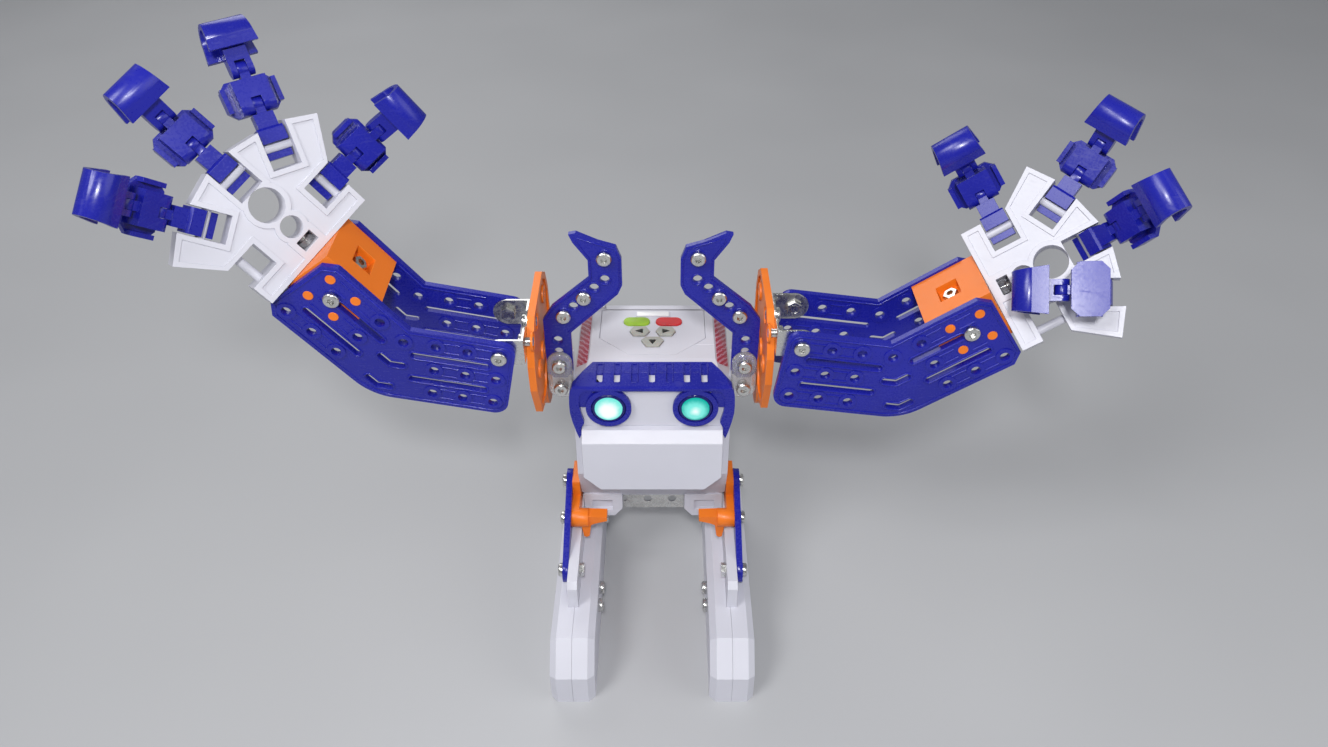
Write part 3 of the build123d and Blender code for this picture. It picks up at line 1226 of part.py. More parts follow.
def leg_screws():
    """Bolts of the leg strip, and the screws of the foot halves, on the +X side."""
    outer = FIN_X[1] + SEAT_GAP * 2 + LEG_STRIP_T
    found = []
    for k, (y, z) in enumerate(leg_bolt_places()):
        length = outer - (HEAD_HALF_W + 0.4) if k < 2 else outer - FIN_X[0] + NUT_H
        found.append(bolt((outer, y, z), (-1, 0, 0), length))
    y, z = leg_bolt_places()[2]
    found.append(nut((FIN_X[0] - THREAD_GAP, y, z), (-1, 0, 0)))
    for y, z in foot_screw_places():
        found.append(bolt((FOOT_X - FOOT_W / 2 - SEAT_GAP, y, z), (1, 0, 0), FOOT_W * 0.8))
    return found


# ================================================================ the whole robot
def body_nodes():
    front, rear = casing()
    screws = head_screws() + leg_screws()
    return {
        "front_shell": front,
        "rear_shell": rear,
        "top_panel": top_panel(),
        "face_mask": face_mask(),
        "jaw_cover": jaw_cover(),
        "eye_lenses": eye_lenses(),
        "base_strip": base_strip(),
        "circuit_board": board(),
        "battery_cells": cells(),
        "drive_motors": pair(motor()),
        "hip_brackets": pair(hip_bracket()),
        "leg_strips": pair(leg_strip()),
        "leg_fins": pair(leg_fin()),
        "foot_shells": pair(gather(*foot_halves())),
        "horn_plates": pair(horn_plate()),
        "clear_links": pair(clear_link()),
        "body_screws": pair(gather(*screws)),
    }


def all_nodes():
    nodes = body_nodes()
    for name in BUTTONS:
        nodes[name] = make_button(name)
    for side in (-1, 1):
        nodes.update(arm_nodes(side))
    return nodes


def frame_shift(nodes):
    """The move that brings the bottom centre of the whole robot's box to the origin."""
    boxes = [shape.bounding_box() for shape in nodes.values()]
    low = [min(tuple(b.min)[k] for b in boxes) for k in range(3)]
    high = [max(tuple(b.max)[k] for b in boxes) for k in range(3)]
    return (-(low[0] + high[0]) / 2, -(low[1] + high[1]) / 2, -low[2])


def main():
    os.makedirs("parts", exist_ok=True)
    nodes = all_nodes()
    shift = frame_shift(nodes)
    for name, shape in nodes.items():
        export_step(Pos(*shift) * shape, f"parts/{name}.step")
    print("nodes", len(nodes), "shift", [round(v, 3) for v in shift])


if __name__ == "__main__":
    main()
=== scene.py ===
import json
import math

import bmesh
import bpy
from mathutils import Matrix, Vector


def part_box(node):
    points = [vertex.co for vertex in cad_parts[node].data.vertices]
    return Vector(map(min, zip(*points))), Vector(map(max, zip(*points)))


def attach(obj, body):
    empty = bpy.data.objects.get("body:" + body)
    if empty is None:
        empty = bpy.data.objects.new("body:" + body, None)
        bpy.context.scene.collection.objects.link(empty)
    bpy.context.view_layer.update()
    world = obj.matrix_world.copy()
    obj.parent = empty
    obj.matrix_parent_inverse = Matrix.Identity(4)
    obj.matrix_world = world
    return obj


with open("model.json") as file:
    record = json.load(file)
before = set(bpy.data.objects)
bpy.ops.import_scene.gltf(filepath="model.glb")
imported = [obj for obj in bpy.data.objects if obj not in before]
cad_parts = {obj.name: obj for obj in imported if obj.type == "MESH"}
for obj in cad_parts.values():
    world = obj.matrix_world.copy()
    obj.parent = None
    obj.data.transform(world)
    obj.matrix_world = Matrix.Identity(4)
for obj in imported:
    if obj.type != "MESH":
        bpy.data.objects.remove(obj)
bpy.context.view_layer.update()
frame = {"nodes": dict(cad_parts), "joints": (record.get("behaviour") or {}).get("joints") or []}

bl_info = {
    "name": "Construction Kit Robot",
    "version": (1, 0, 0),
    "blender": (4, 5, 0),
    "location": "3D View > Sidebar > Kit Robot",
    "description": "Moulded plastic, zinc, rubber and glowing lenses for a construction kit robot",
    "category": "Object",
}

MM = 0.001
NODES = frame["nodes"]
SIDES = {"left": -1, "right": 1}
FINGERS = ("thumb", "first", "middle", "last")

# The middle of the head and the back of its casing place every piece added to the head.
# Places on the head are in millimetres from there, and heights are above the floor.
HEAD_BACK = 56.0
PANEL_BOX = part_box("top_panel")
SHELL_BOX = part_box("rear_shell")
SHIFT = Vector(((PANEL_BOX[0].x + PANEL_BOX[1].x) / 2, SHELL_BOX[1].y - HEAD_BACK * MM, 0.0))
TO_METRES = Matrix.Scale(MM, 4)
HEAD_PLACE = Matrix.Translation(SHIFT) @ TO_METRES

# Sizes of the arm plates, in millimetres
PITCH = 12.7  # between neighbouring holes
HALF = PITCH / 2
ROWS = 3  # rows of holes, and holes in each row of either length
ARM_W = ROWS * PITCH
ARM_GAP = 28.5  # between the front and the rear plate
ARM_T = 2.5
BEND_A = 36.0  # from the pivot to the bend
BEND_DEG = 42.0
BEND_TAN = math.tan(math.radians(BEND_DEG / 2))
OUT_FIRST = -2.6  # one pitch before the outer length's first hole
OUT_END = OUT_FIRST + ROWS * PITCH + HALF
END_CHAMFER = 4.6
RING_R = 3.8  # raised ring round a hole
INNER_SLOT = (4.6, BEND_A - 2)  # start and end
OUTER_SLOTS = ((1, 3.5, 25.0), (2, 4.5, 31.0))  # row, start and end
BEND_SLOT = 5.0  # either way from the bend

# Sizes of surface features, in metres
FLOW_MARKS = 0.03
RUBBED_STREAKS = 0.006
BRUSHED_STREAKS = 0.0012
DULL_SPOTS = 0.003
HAZE = 0.004
HAIRLINES = 0.0009
RUBBER_GRAIN = 0.0005
LENS_CLOUD = 0.003
STROKE_WOBBLE = 0.0035
PRINT_WEAR = 0.0015
FLOOR_CLOUD = 0.25

# Depths of surface relief, in metres
FLOW_DEPTH = 0.0004
GRAIN_DEPTH = 0.00001
BRUSH_DEPTH = 0.00002
SCRATCH_DEPTH = 0.00001
RUBBER_DEPTH = 0.00002
INK_DEPTH = 0.00003


# ---------------------------------------------------------------- settings
class RobotFinish(bpy.types.PropertyGroup):
    """Colours and surface sizes of the robot's plastics and metals."""

    white: bpy.props.FloatVectorProperty(
        name="White plastic", description="Colour of the casing, palms and feet",
        subtype="COLOR", size=3, min=0, max=1, default=(0.62, 0.62, 0.69))
    blue: bpy.props.FloatVectorProperty(
        name="Blue plastic", description="Colour of the mask, arm plates, horns and fingers",
        subtype="COLOR", size=3, min=0, max=1, default=(0.010, 0.013, 0.30))
    orange: bpy.props.FloatVectorProperty(
        name="Orange plastic", description="Colour of the shoulder plates, wrist blocks and hips",
        subtype="COLOR", size=3, min=0, max=1, default=(0.84, 0.19, 0.012))
    glow: bpy.props.FloatVectorProperty(
        name="Eye glow", description="Colour at the rim of the lit lenses",
        subtype="COLOR", size=3, min=0, max=1, default=(0.0, 0.66, 0.55))
    hatch: bpy.props.FloatVectorProperty(
        name="Hatch print", description="Colour of the diagonal strokes beside the keypad",
        subtype="COLOR", size=3, min=0, max=1, default=(0.42, 0.002, 0.035))
    edge: bpy.props.FloatProperty(
        name="Edge rounding", description="Width of the rounding on moulded edges",
        unit="LENGTH", min=0, max=0.002, default=0.00035)
    grain: bpy.props.FloatProperty(
        name="Grain size", description="Size of the fine spark grain in the moulded plastic",
        unit="LENGTH", min=0.0001, max=0.01, default=0.0009)


class RobotTrim(bpy.types.PropertyGroup):
    """Sizes of the small raised details."""

    bead: bpy.props.FloatProperty(
        name="Bead radius", description="Radius of the raised lines on the arm plates",
        unit="LENGTH", min=0.0001, max=0.001, default=0.00042)
    lip: bpy.props.FloatProperty(
        name="Lip radius", description="Radius of the raised lips on the visor",
        unit="LENGTH", min=0.0001, max=0.001, default=0.00028)
    stroke: bpy.props.FloatProperty(
        name="Hatch pitch", description="Distance between the diagonal strokes",
        unit="LENGTH", min=0.001, max=0.02, default=0.0040)


class RobotStage(bpy.types.PropertyGroup):
    """Floor, lights and camera."""

    floor: bpy.props.FloatProperty(
        name="Floor size", description="Side of the pale floor",
        unit="LENGTH", min=1, max=40, default=12.0)
    key: bpy.props.FloatProperty(
        name="Key light", description="Power of the large front light",
        unit="POWER", min=0, default=11.0)
    fill: bpy.props.FloatProperty(
        name="Fill light", description="Power of the side light and of the back light",
        unit="POWER", min=0, default=6.0)
    spark: bpy.props.FloatProperty(
        name="Lens light", description="Power of the small front light, which lights the edges",
        unit="POWER", min=0, default=2.4)
    lens: bpy.props.FloatProperty(
        name="Focal length", description="Focal length of the camera",
        unit="CAMERA", min=10, max=200, default=26.02)


# ---------------------------------------------------------------- materials
class Graph:
    """A material's node graph with short ways to add the nodes used here."""

    def __init__(self, name):
        self.material = bpy.data.materials.new(name)
        self.material.use_nodes = True
        self.tree = self.material.node_tree
        self.tree.nodes.clear()
        self.output = self.node("ShaderNodeOutputMaterial")
        self.shader = self.node("ShaderNodeBsdfPrincipled")
        self.join(self.shader.outputs[0], self.output.inputs["Surface"])
        self.place = self.node("ShaderNodeTexCoord").outputs["Object"]

    def node(self, kind, **values):
        made = self.tree.nodes.new(kind)
        for key, value in values.items():
            setattr(made, key, value)
        return made

    def join(self, a, b):
        self.tree.links.new(a, b)

    def feed(self, **values):
        """Joins values to the shader's sockets, which are named with underscores."""
        for key, value in values.items():
            self.join(value, self.shader.inputs[key.replace("_", " ")])

    def set(self, **values):
        """Sets the shader's sockets, which are named with underscores."""
        for key, value in values.items():
            self.shader.inputs[key.replace("_", " ")].default_value = value

    def noise(self, size, detail=2.0, stretch=(1, 1, 1)):
        """Noise whose features are about size metres across."""
        mapping = self.node("ShaderNodeMapping")
        mapping.inputs["Scale"].default_value = [s / size for s in stretch]
        self.join(self.place, mapping.inputs["Vector"])
        noise = self.node("ShaderNodeTexNoise")
        noise.inputs["Scale"].default_value = 1.0
        noise.inputs["Detail"].default_value = detail
        self.join(mapping.outputs[0], noise.inputs["Vector"])
        return noise.outputs["Fac"]

    def spread(self, value, low, high, start=0.3, end=0.7):
        """Maps start..end of a value to low..high."""
        node = self.node("ShaderNodeMapRange")
        node.inputs["From Min"].default_value = start
        node.inputs["From Max"].default_value = end
        node.inputs["To Min"].default_value = low
        node.inputs["To Max"].default_value = high
        self.join(value, node.inputs["Value"])
        return node.outputs["Result"]

    def math(self, how, a, b=None):
        """The result of a math node fed by numbers or sockets."""
        node = self.node("ShaderNodeMath", operation=how)
        for k, value in enumerate((a, b)):
            if value is None:
                continue
            if isinstance(value, (int, float)):
                node.inputs[k].default_value = value
            else:
                self.join(value, node.inputs[k])
        return node.outputs[0]

    def mix(self, share, a, b):
        """A colour between a and b."""
        node = self.node("ShaderNodeMix", data_type="RGBA")
        for key, value in (("Factor", share), ("A", a), ("B", b)):
            socket = [s for s in node.inputs if s.name == key and s.enabled][0]
            if isinstance(value, bpy.types.NodeSocket):
                self.join(value, socket)
            elif isinstance(value, (int, float)):
                socket.default_value = value
            else:
                socket.default_value = (*tuple(value)[:3], 1.0)
        return [s for s in node.outputs if s.enabled][0]

    def bump(self, height, depth, strength, before=None):
        """Turns a height value into a normal; depth is in metres."""
        node = self.node("ShaderNodeBump")
        node.inputs["Strength"].default_value = strength
        node.inputs["Distance"].default_value = depth
        self.join(height, node.inputs["Height"])
        if before is not None:
            self.join(before, node.inputs["Normal"])
        return node.outputs["Normal"]


def shade(colour, factor):
    """A colour made lighter or darker."""
    return tuple(min(1.0, c * factor) for c in colour[:3])


def moulded_plastic(name, colour, gloss, grain, tone):
    """Injection-moulded plastic: fine spark grain, soft flow marks and a few rubbed streaks."""
    g = Graph(name)
    flow = g.noise(FLOW_MARKS)
    rubbed = g.noise(RUBBED_STREAKS, 3.0, stretch=(1, 1, 6))
    fine = g.noise(grain)
    base = g.mix(g.spread(flow, 0, 1), shade(colour, 1 - tone), shade(colour, 1 + tone))
    pale = g.spread(rubbed, 0, 0.10, start=0.60, end=0.78)
    worn = shade([c * 0.8 + 0.12 for c in colour], 1.0)
    rough = g.math("ADD", g.spread(flow, gloss - 0.04, gloss + 0.05), g.spread(fine, -0.05, 0.05))
    streaked = g.math("ADD", rough, g.spread(rubbed, 0, 0.12, start=0.58, end=0.75))
    wave = g.bump(flow, FLOW_DEPTH, 0.25)
    g.feed(Base_Color=g.mix(pale, base, worn), Roughness=streaked,
           Normal=g.bump(fine, GRAIN_DEPTH, 0.5, before=wave))
    g.set(IOR=1.46)
    return g.material


def zinc_steel(name, colour, gloss):
    """Zinc-plated steel with brushed streaks and dull spots."""
    g = Graph(name)
    streak = g.noise(BRUSHED_STREAKS, 3.0, stretch=(1, 1, 14))
    spots = g.noise(DULL_SPOTS, 3.0)
    rough = g.math("ADD", g.spread(spots, gloss - 0.05, gloss + 0.12),
                   g.spread(streak, -0.04, 0.06))
    g.feed(Base_Color=g.mix(g.spread(spots, 0, 1), shade(colour, 0.86), shade(colour, 1.08)),
           Roughness=rough, Normal=g.bump(streak, BRUSH_DEPTH, 0.4))
    g.set(Metallic=1.0)
    return g.material


def clear_plastic(name):
    """Clear polycarbonate with faint haze and hairline scratches."""
    g = Graph(name)
    haze = g.noise(HAZE, 3.0)
    hair = g.noise(HAIRLINES, stretch=(1, 9, 1))
    rough = g.math("ADD", g.spread(haze, 0.05, 0.14),
                   g.spread(hair, 0, 0.08, start=0.55, end=0.75))
    g.feed(Base_Color=g.mix(g.spread(haze, 0, 1), (0.95, 0.97, 0.98), (1.0, 1.0, 1.0)),
           Roughness=rough, Normal=g.bump(hair, SCRATCH_DEPTH, 0.3))
    g.set(IOR=1.52, Transmission_Weight=0.82, Specular_IOR_Level=0.7)
    return g.material


def rubber(name, colour, gloss):
    """Silicone keypad rubber, slightly cloudy."""
    g = Graph(name)
    cloud = g.noise(HAZE, 3.0)
    fine = g.noise(RUBBER_GRAIN)
    rough = g.math("ADD", g.spread(cloud, gloss - 0.05, gloss + 0.07),
                   g.spread(fine, -0.04, 0.04))
    g.feed(Base_Color=g.mix(g.spread(cloud, 0, 1), shade(colour, 0.88), shade(colour, 1.1)),
           Roughness=rough, Normal=g.bump(fine, RUBBER_DEPTH, 0.35))
    g.set(Subsurface_Weight=0.12, Subsurface_Scale=0.002)
    return g.material


def lens_glow(name, rim, eyes, radius):
    """Lit lens: white in its middle, fading to the glow colour at its rim."""
    g = Graph(name)
    nearest = None
    for eye in eyes:
        away = g.node("ShaderNodeVectorMath", operation="DISTANCE")
        away.inputs[1].default_value = eye
        g.join(g.place, away.inputs[0])
        out = away.outputs["Value"]
        nearest = out if nearest is None else g.math("MINIMUM", nearest, out)
    cloud = g.spread(g.noise(LENS_CLOUD), -0.05, 0.05)
    split = g.node("ShaderNodeSeparateXYZ")
    g.join(g.place, split.inputs[0])
    drift = g.spread(split.outputs["X"], -0.26, 0.16, start=eyes[0][0], end=eyes[1][0])
    fade = g.spread(nearest, 0, 0.86, start=0, end=radius * 1.05)
    ramp = g.node("ShaderNodeValToRGB")
    ramp.color_ramp.interpolation = "EASE"
    first, last = ramp.color_ramp.elements
    first.color, first.position = (0.92, 1.0, 0.98, 1), 0.08
    last.color, last.position = (*shade(rim, 0.62), 1), 1.0
    middle = ramp.color_ramp.elements.new(0.60)
    middle.color = (*[c * 0.8 + 0.2 * t for c, t in zip(rim, (0.9, 1.2, 1.2))], 1)
    g.join(g.math("ADD", fade, g.math("ADD", cloud, drift)), ramp.inputs["Fac"])
    lit = ramp.outputs["Color"]
    g.feed(Emission_Color=lit, Base_Color=g.mix(0.9, lit, (0.01, 0.05, 0.05)),
           Roughness=g.spread(cloud, 0.10, 0.24, start=-0.05, end=0.05))
    g.set(Emission_Strength=0.95, IOR=1.5)
    return g.material


def hatch_print(name, colour, ground, pitch):
    """Printed foil with diagonal strokes on a paler ground, mirrored about the middle."""
    g = Graph(name)
    split = g.node("ShaderNodeSeparateXYZ")
    g.join(g.place, split.inputs[0])
    slope = 1.15
    across = g.math("MULTIPLY", g.math("ABSOLUTE", split.outputs["X"]), -slope)
    rise = g.math("ADD", split.outputs["Y"], g.math("MULTIPLY", split.outputs["Z"], slope))
    line = g.math("ADD", rise, across)
    wobble = g.spread(g.noise(STROKE_WOBBLE), -0.0006, 0.0006)
    phase = g.math("FRACT", g.math("DIVIDE", g.math("ADD", line, wobble), pitch))
    broad = g.math("ABSOLUTE", g.math("SUBTRACT", phase, 0.5))
    second = g.math("FRACT", g.math("DIVIDE", line, pitch * 0.5))
    narrow = g.math("ABSOLUTE", g.math("SUBTRACT", second, 0.5))
    stroke = g.spread(broad, 0, 1, start=0.10, end=0.15)
    thin = g.spread(narrow, 0.55, 1, start=0.10, end=0.16)
    worn = g.spread(g.noise(PRINT_WEAR, 3.0), 0.93, 1.0, start=0.35, end=0.6)
    ink = g.math("MULTIPLY", g.math("MULTIPLY", stroke, worn), thin)
    g.feed(Base_Color=g.mix(ink, ground, colour), Normal=g.bump(ink, INK_DEPTH, 0.4),
           Roughness=g.spread(ink, 0.30, 0.42, start=0, end=1))
    g.set(Coat_Weight=0.3, Coat_Roughness=0.12)
    return g.material


def floor_paint(name):
    """Plain pale floor with a barely uneven sheen."""
    g = Graph(name)
    cloud = g.noise(FLOOR_CLOUD)
    g.feed(Base_Color=g.mix(g.spread(cloud, 0, 1), (0.44, 0.445, 0.46), (0.47, 0.475, 0.49)),
           Roughness=g.spread(cloud, 0.52, 0.62))
    return g.material


SHELF = {}
SEAM = 5e-6  # metres between vertices that are welded
FLAT_DEG = 0.8  # faces flatter than this are merged
SHARP_DEG = 34.0  # edges sharper than this are rounded
FINE_EDGE = 0.5  # rounding of steel and clear edges, as a share of the moulded ones


def finish_of(slot):
    """The material for a slot of the record or for a trim finish, made once."""
    if slot in SHELF:
        return SHELF[slot]
    look = bpy.context.scene.robot_finish
    grain = look.grain
    # Moulded plastics: name, colour, gloss, tone
    moulded = {
        "white_plastic": ("white moulded plastic", look.white, 0.40, 0.02),
        "blue_plastic": ("blue moulded plastic", look.blue, 0.27, 0.10),
        "orange_plastic": ("orange moulded plastic", look.orange, 0.38, 0.05),
        "board_green": ("circuit board", (0.01, 0.12, 0.04), 0.35, 0.05),
        "cell_wrap": ("cell wrap", (0.03, 0.03, 0.035), 0.3, 0.05),
        "motor_grey": ("motor grey", (0.08, 0.08, 0.085), 0.45, 0.05),
        "label_white": ("glossy label", (0.86, 0.86, 0.88), 0.18, 0.02),
        "dark_blue": ("dark blue plastic", shade(look.blue, 0.45), 0.2, 0.10),
    }
    # Rubbers: name, colour, gloss
    soft = {
        "green_rubber": ("green rubber", (0.30, 0.50, 0.035), 0.42),
        "red_rubber": ("red rubber", (0.60, 0.025, 0.03), 0.42),
        "grey_rubber": ("grey rubber", (0.42, 0.42, 0.38), 0.36),
        "black_ink": ("black rubber", (0.006, 0.006, 0.006), 0.5),
    }
    if slot in moulded:
        name, colour, gloss, tone = moulded[slot]
        made = moulded_plastic(name, colour, gloss, grain, tone)
    elif slot in soft:
        made = rubber(*soft[slot])
    elif slot == "steel":
        made = zinc_steel("zinc steel", (0.66, 0.66, 0.64), 0.22)
    elif slot == "clear_plastic":
        made = clear_plastic("clear plastic")
    else:
        raise KeyError(slot)
    SHELF[slot] = made
    return made


def paint(node, material):
    """Gives a CAD node its material in every slot it has."""
    for slot in NODES[node].material_slots:
        slot.material = material


def soften(node, width):
    """Rounds a CAD node's edges with modifiers; its own mesh stays as it is."""
    piece = NODES[node]
    weld = piece.modifiers.new("Weld seams", "WELD")
    weld.merge_threshold = SEAM
    flat = piece.modifiers.new("Merge flat faces", "DECIMATE")
    flat.decimate_type = "DISSOLVE"
    flat.angle_limit = math.radians(FLAT_DEG)
    edge = piece.modifiers.new("Round edges", "BEVEL")
    edge.width = width
    edge.segments = 2
    edge.limit_method = "ANGLE"
    edge.angle_limit = math.radians(SHARP_DEG)
    edge.use_clamp_overlap = True
    edge.miter_outer = "MITER_ARC"
    edge.harden_normals = True


def dress(slot, width, *nodes):
    """Paints CAD nodes with a slot's finish and rounds their edges."""
    for node in nodes:
        paint(node, finish_of(slot))
        soften(node, width)


# ---------------------------------------------------------------- making pieces
def add_piece(name, mesh, material, body, smooth=True):
    """A named object on a body, with its material."""
    piece = bpy.data.objects.new(name, mesh)
    bpy.context.scene.collection.objects.link(piece)
    piece.data.materials.append(material)
    for face in piece.data.polygons:
        face.use_smooth = smooth
    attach(piece, body)
    return piece


def inset_line(points, depth):
    """A closed outline moved inwards by depth; its points run anticlockwise."""
    least = 0.35  # a sharp corner moves by no more than depth / least
    moved = []
    for k, point in enumerate(points):
        here = Vector(point)
        before = (here - Vector(points[k - 1])).normalized()
        after = (Vector(points[(k + 1) % len(points)]) - here).normalized()
        side = Vector((-before.y, before.x))
        normal = (side + Vector((-after.y, after.x))).normalized()
        moved.append(tuple(here + normal * depth / max(least, normal.dot(side))))
    return moved


def beads_mesh(name, lines, radius):
    """One mesh of round beads along (points, closed) lines."""
    curve = bpy.data.curves.new(name, "CURVE")
    curve.dimensions = "3D"
    curve.bevel_depth = radius
    curve.bevel_resolution = 2
    curve.use_fill_caps = True
    for points, closed in lines:
        spline = curve.splines.new("POLY")
        spline.points.add(len(points) - 1)
        for k, point in enumerate(points):
            spline.points[k].co = (*point, 1.0)
        spline.use_cyclic_u = closed
    holder = bpy.data.objects.new(name, curve)
    bpy.context.scene.collection.objects.link(holder)
    bpy.context.view_layer.update()
    solid = holder.evaluated_get(bpy.context.evaluated_depsgraph_get())
    mesh = bpy.data.meshes.new_from_object(solid)
    bpy.data.objects.remove(holder)
    bpy.data.curves.remove(curve)
    mesh.name = name
    return mesh


def prism_mesh(name, outline, low, high, round_by, place):
    """A slab of an outline between two heights, with a rounded upper rim, put in its place."""
    bm = bmesh.new()
    ring = [bm.verts.new((x, y, low)) for x, y in outline]
    face = bm.faces.new(ring)
    top = bmesh.ops.extrude_face_region(bm, geom=[face])
    moved = [v for v in top["geom"] if isinstance(v, bmesh.types.BMVert)]
    bmesh.ops.translate(bm, verts=moved, vec=(0, 0, high - low))
    bmesh.ops.recalc_face_normals(bm, faces=bm.faces)
    rim = [e for e in bm.edges if all(abs(v.co.z - high) < 1e-7 for v in e.verts)]
    bmesh.ops.bevel(bm, geom=rim, offset=round_by, segments=2, affect="EDGES", profile=0.5)
    bm.transform(place)
    mesh = bpy.data.meshes.new(name)
    bm.to_mesh(mesh)
    bm.free()
    return mesh


def lathe_mesh(name, profile, centre, way, steps=48):
    """Turns a closed profile of (radius, depth) points about an axis through centre along way."""
    bm = bmesh.new()
    rings = []
    for k in range(steps):
        angle = 2 * math.pi * k / steps
        x, y = math.cos(angle), math.sin(angle)
        rings.append([bm.verts.new((r * x, r * y, d)) for r, d in profile])
    count = len(profile)
    for k in range(steps):
        near, far = rings[k], rings[(k + 1) % steps]
        for i in range(count):
            j = (i + 1) % count
            bm.faces.new((near[i], near[j], far[j], far[i]))
    bmesh.ops.recalc_face_normals(bm, faces=bm.faces)
    turn = Vector((0, 0, 1)).rotation_difference(Vector(way)).to_matrix().to_4x4()
    bm.transform(Matrix.Translation(centre) @ turn)
    mesh = bpy.data.meshes.new(name)
    bm.to_mesh(mesh)
    bm.free()
    return mesh


# ---------------------------------------------------------------- the frame of an arm
def joint(name):
    """A joint of the frame by its name."""
    return [j for j in frame["joints"] if j["name"] == name][0]


def arm_matrix(tag):
    """Arm frame in millimetres from the pivot: along the inner length, up, and to the front."""
    raise_joint, wrist = joint(f"{tag}_arm_raise"), joint(f"{tag}_wrist_twist")
    lift = Vector(raise_joint["axis"]).normalized()
    out = Vector(wrist["axis"]).normalized() * SIDES[tag]
    along = Matrix.Rotation(math.radians(-BEND_DEG), 3, lift) @ out
    up = lift.cross(along)
    front = lift * SIDES[tag]
    turn = Matrix((along, up, front)).transposed().to_4x4()
    return Matrix.Translation(Vector(raise_joint["pos_m"])) @ turn @ TO_METRES


def inner_row(row):
    """The three holes of a row of the inner length."""
    return [(PITCH * c, -PITCH * row) for c in range(ROWS)]


def bent(along, across):
    """A point of the outer length, along and across it, in the arm's frame."""
    turn = math.radians(BEND_DEG)
    return (BEND_A + along * math.cos(turn) - across * math.sin(turn),
            HALF + along * math.sin(turn) + across * math.cos(turn))


def outer_row(row):
    """The three holes of a row of the outer length."""
    return [bent(OUT_FIRST + PITCH * c, -HALF - PITCH * row) for c in range(1, ROWS + 1)]


def arc(centre, radius, start, end, steps):
    """Points of an arc, angles in degrees."""
    angles = [math.radians(start + (end - start) * k / steps) for k in range(steps + 1)]
    return [(centre[0] + radius * math.cos(a), centre[1] + radius * math.sin(a)) for a in angles]


def rounded(corners, radii, steps):
    """A closed outline with its corners rounded by the given radii."""
    points = []
    count = len(corners)
    for k, radius in enumerate(radii):
        here = Vector(corners[k])
        before = (Vector(corners[k - 1]) - here).normalized()
        after = (Vector(corners[(k + 1) % count]) - here).normalized()
        if radius <= 0:
            points.append(tuple(here))
            continue
        half = math.acos(max(-1.0, min(1.0, before.dot(after)))) / 2
        reach = radius / math.tan(half)
        start, end = here + before * reach, here + after * reach
        middle = here + (before + after).normalized() * (radius / math.sin(half))
        a, b = start - middle, end - middle
        for s in range(steps + 1):
            t = s / steps
            way = (a * (1 - t) + b * t).normalized()
            points.append(tuple(middle + way * radius))
    return points


def rim_line(path, reach):
    """Closed outline at a distance round a path of points, with round ends."""
    path = [Vector(p) for p in path]
    outline = []
    for points in (path, path[::-1]):
        for k, point in enumerate(points):
            first = max(k - 1, 0)
            pairs = zip(points[first:], points[first + 1:k + 2])
            ways = [(b - a).normalized() for a, b in pairs]
            sides = [Vector((-w.y, w.x)) for w in ways]
            normal = sum(sides, Vector((0, 0))).normalized()
            outline.append(tuple(point + normal * reach / normal.dot(sides[0])))
        last = points[-1] - points[-2]
        turn = math.degrees(math.atan2(last.y, last.x))
        outline += arc(points[-1], reach, turn + 90, turn - 90, 8)[1:-1]
    return outline


def bend_path(row):
    """Middle line of a slot that follows a row round the bend."""
    depth = HALF + PITCH * row
    x, y = BEND_A + depth * BEND_TAN, HALF - depth
    turn = math.radians(BEND_DEG)
    return [(x - BEND_SLOT, y), (x, y),
            (x + BEND_SLOT * math.cos(turn), y + BEND_SLOT * math.sin(turn))]


def slot_paths():
    """Middle lines of the slots: two on the inner length, then two outer ones and two bends."""
    inner = [[(x, -HALF - PITCH * row) for x in INNER_SLOT] for row in (0, 1)]
    outer = [[bent(start, -PITCH * row), bent(end, -PITCH * row)]
             for row, start, end in OUTER_SLOTS]
    return inner, outer + [bend_path(1), bend_path(2)]


def plate_line(inset):
    """Outline of an arm plate moved inwards by inset, in the arm's frame."""
    heel_round, low_round, top_round = 5.0, 22.0, 4.0
    cut_share = 0.4  # the end's chamfers shrink less than the outline
    low = HALF - ARM_W + inset
    top = HALF - inset
    cut = END_CHAMFER - inset * cut_share
    end = OUT_END - inset
    points = [(-HALF + inset, top), (BEND_A + inset * BEND_TAN, top),
              bent(end - cut, -inset), bent(end, -inset - cut),
              bent(end, -ARM_W + inset + cut), bent(end - cut, -ARM_W + inset),
              (BEND_A + (ARM_W - inset) * BEND_TAN, low), (-HALF + inset, low)]
    return rounded(points, (top_round, 0, 0, 0, 0, 0, low_round, heel_round), 10)


# ---------------------------------------------------------------- operators
class ROBOT_OT_casing(bpy.types.Operator):
    """White casing, jaw, panel and base strip with rounded edges, and the parts inside"""

    bl_idname = "robot.casing"
    bl_label = "Casing"

    def execute(self, context):
        edge = context.scene.robot_finish.edge
        dress("white_plastic", edge, "front_shell", "rear_shell", "top_panel", "jaw_cover")
        dress("steel", edge * FINE_EDGE, "base_strip")
        paint("circuit_board", finish_of("board_green"))
        paint("battery_cells", finish_of("cell_wrap"))
        paint("drive_motors", finish_of("motor_grey"))
        return {"FINISHED"}


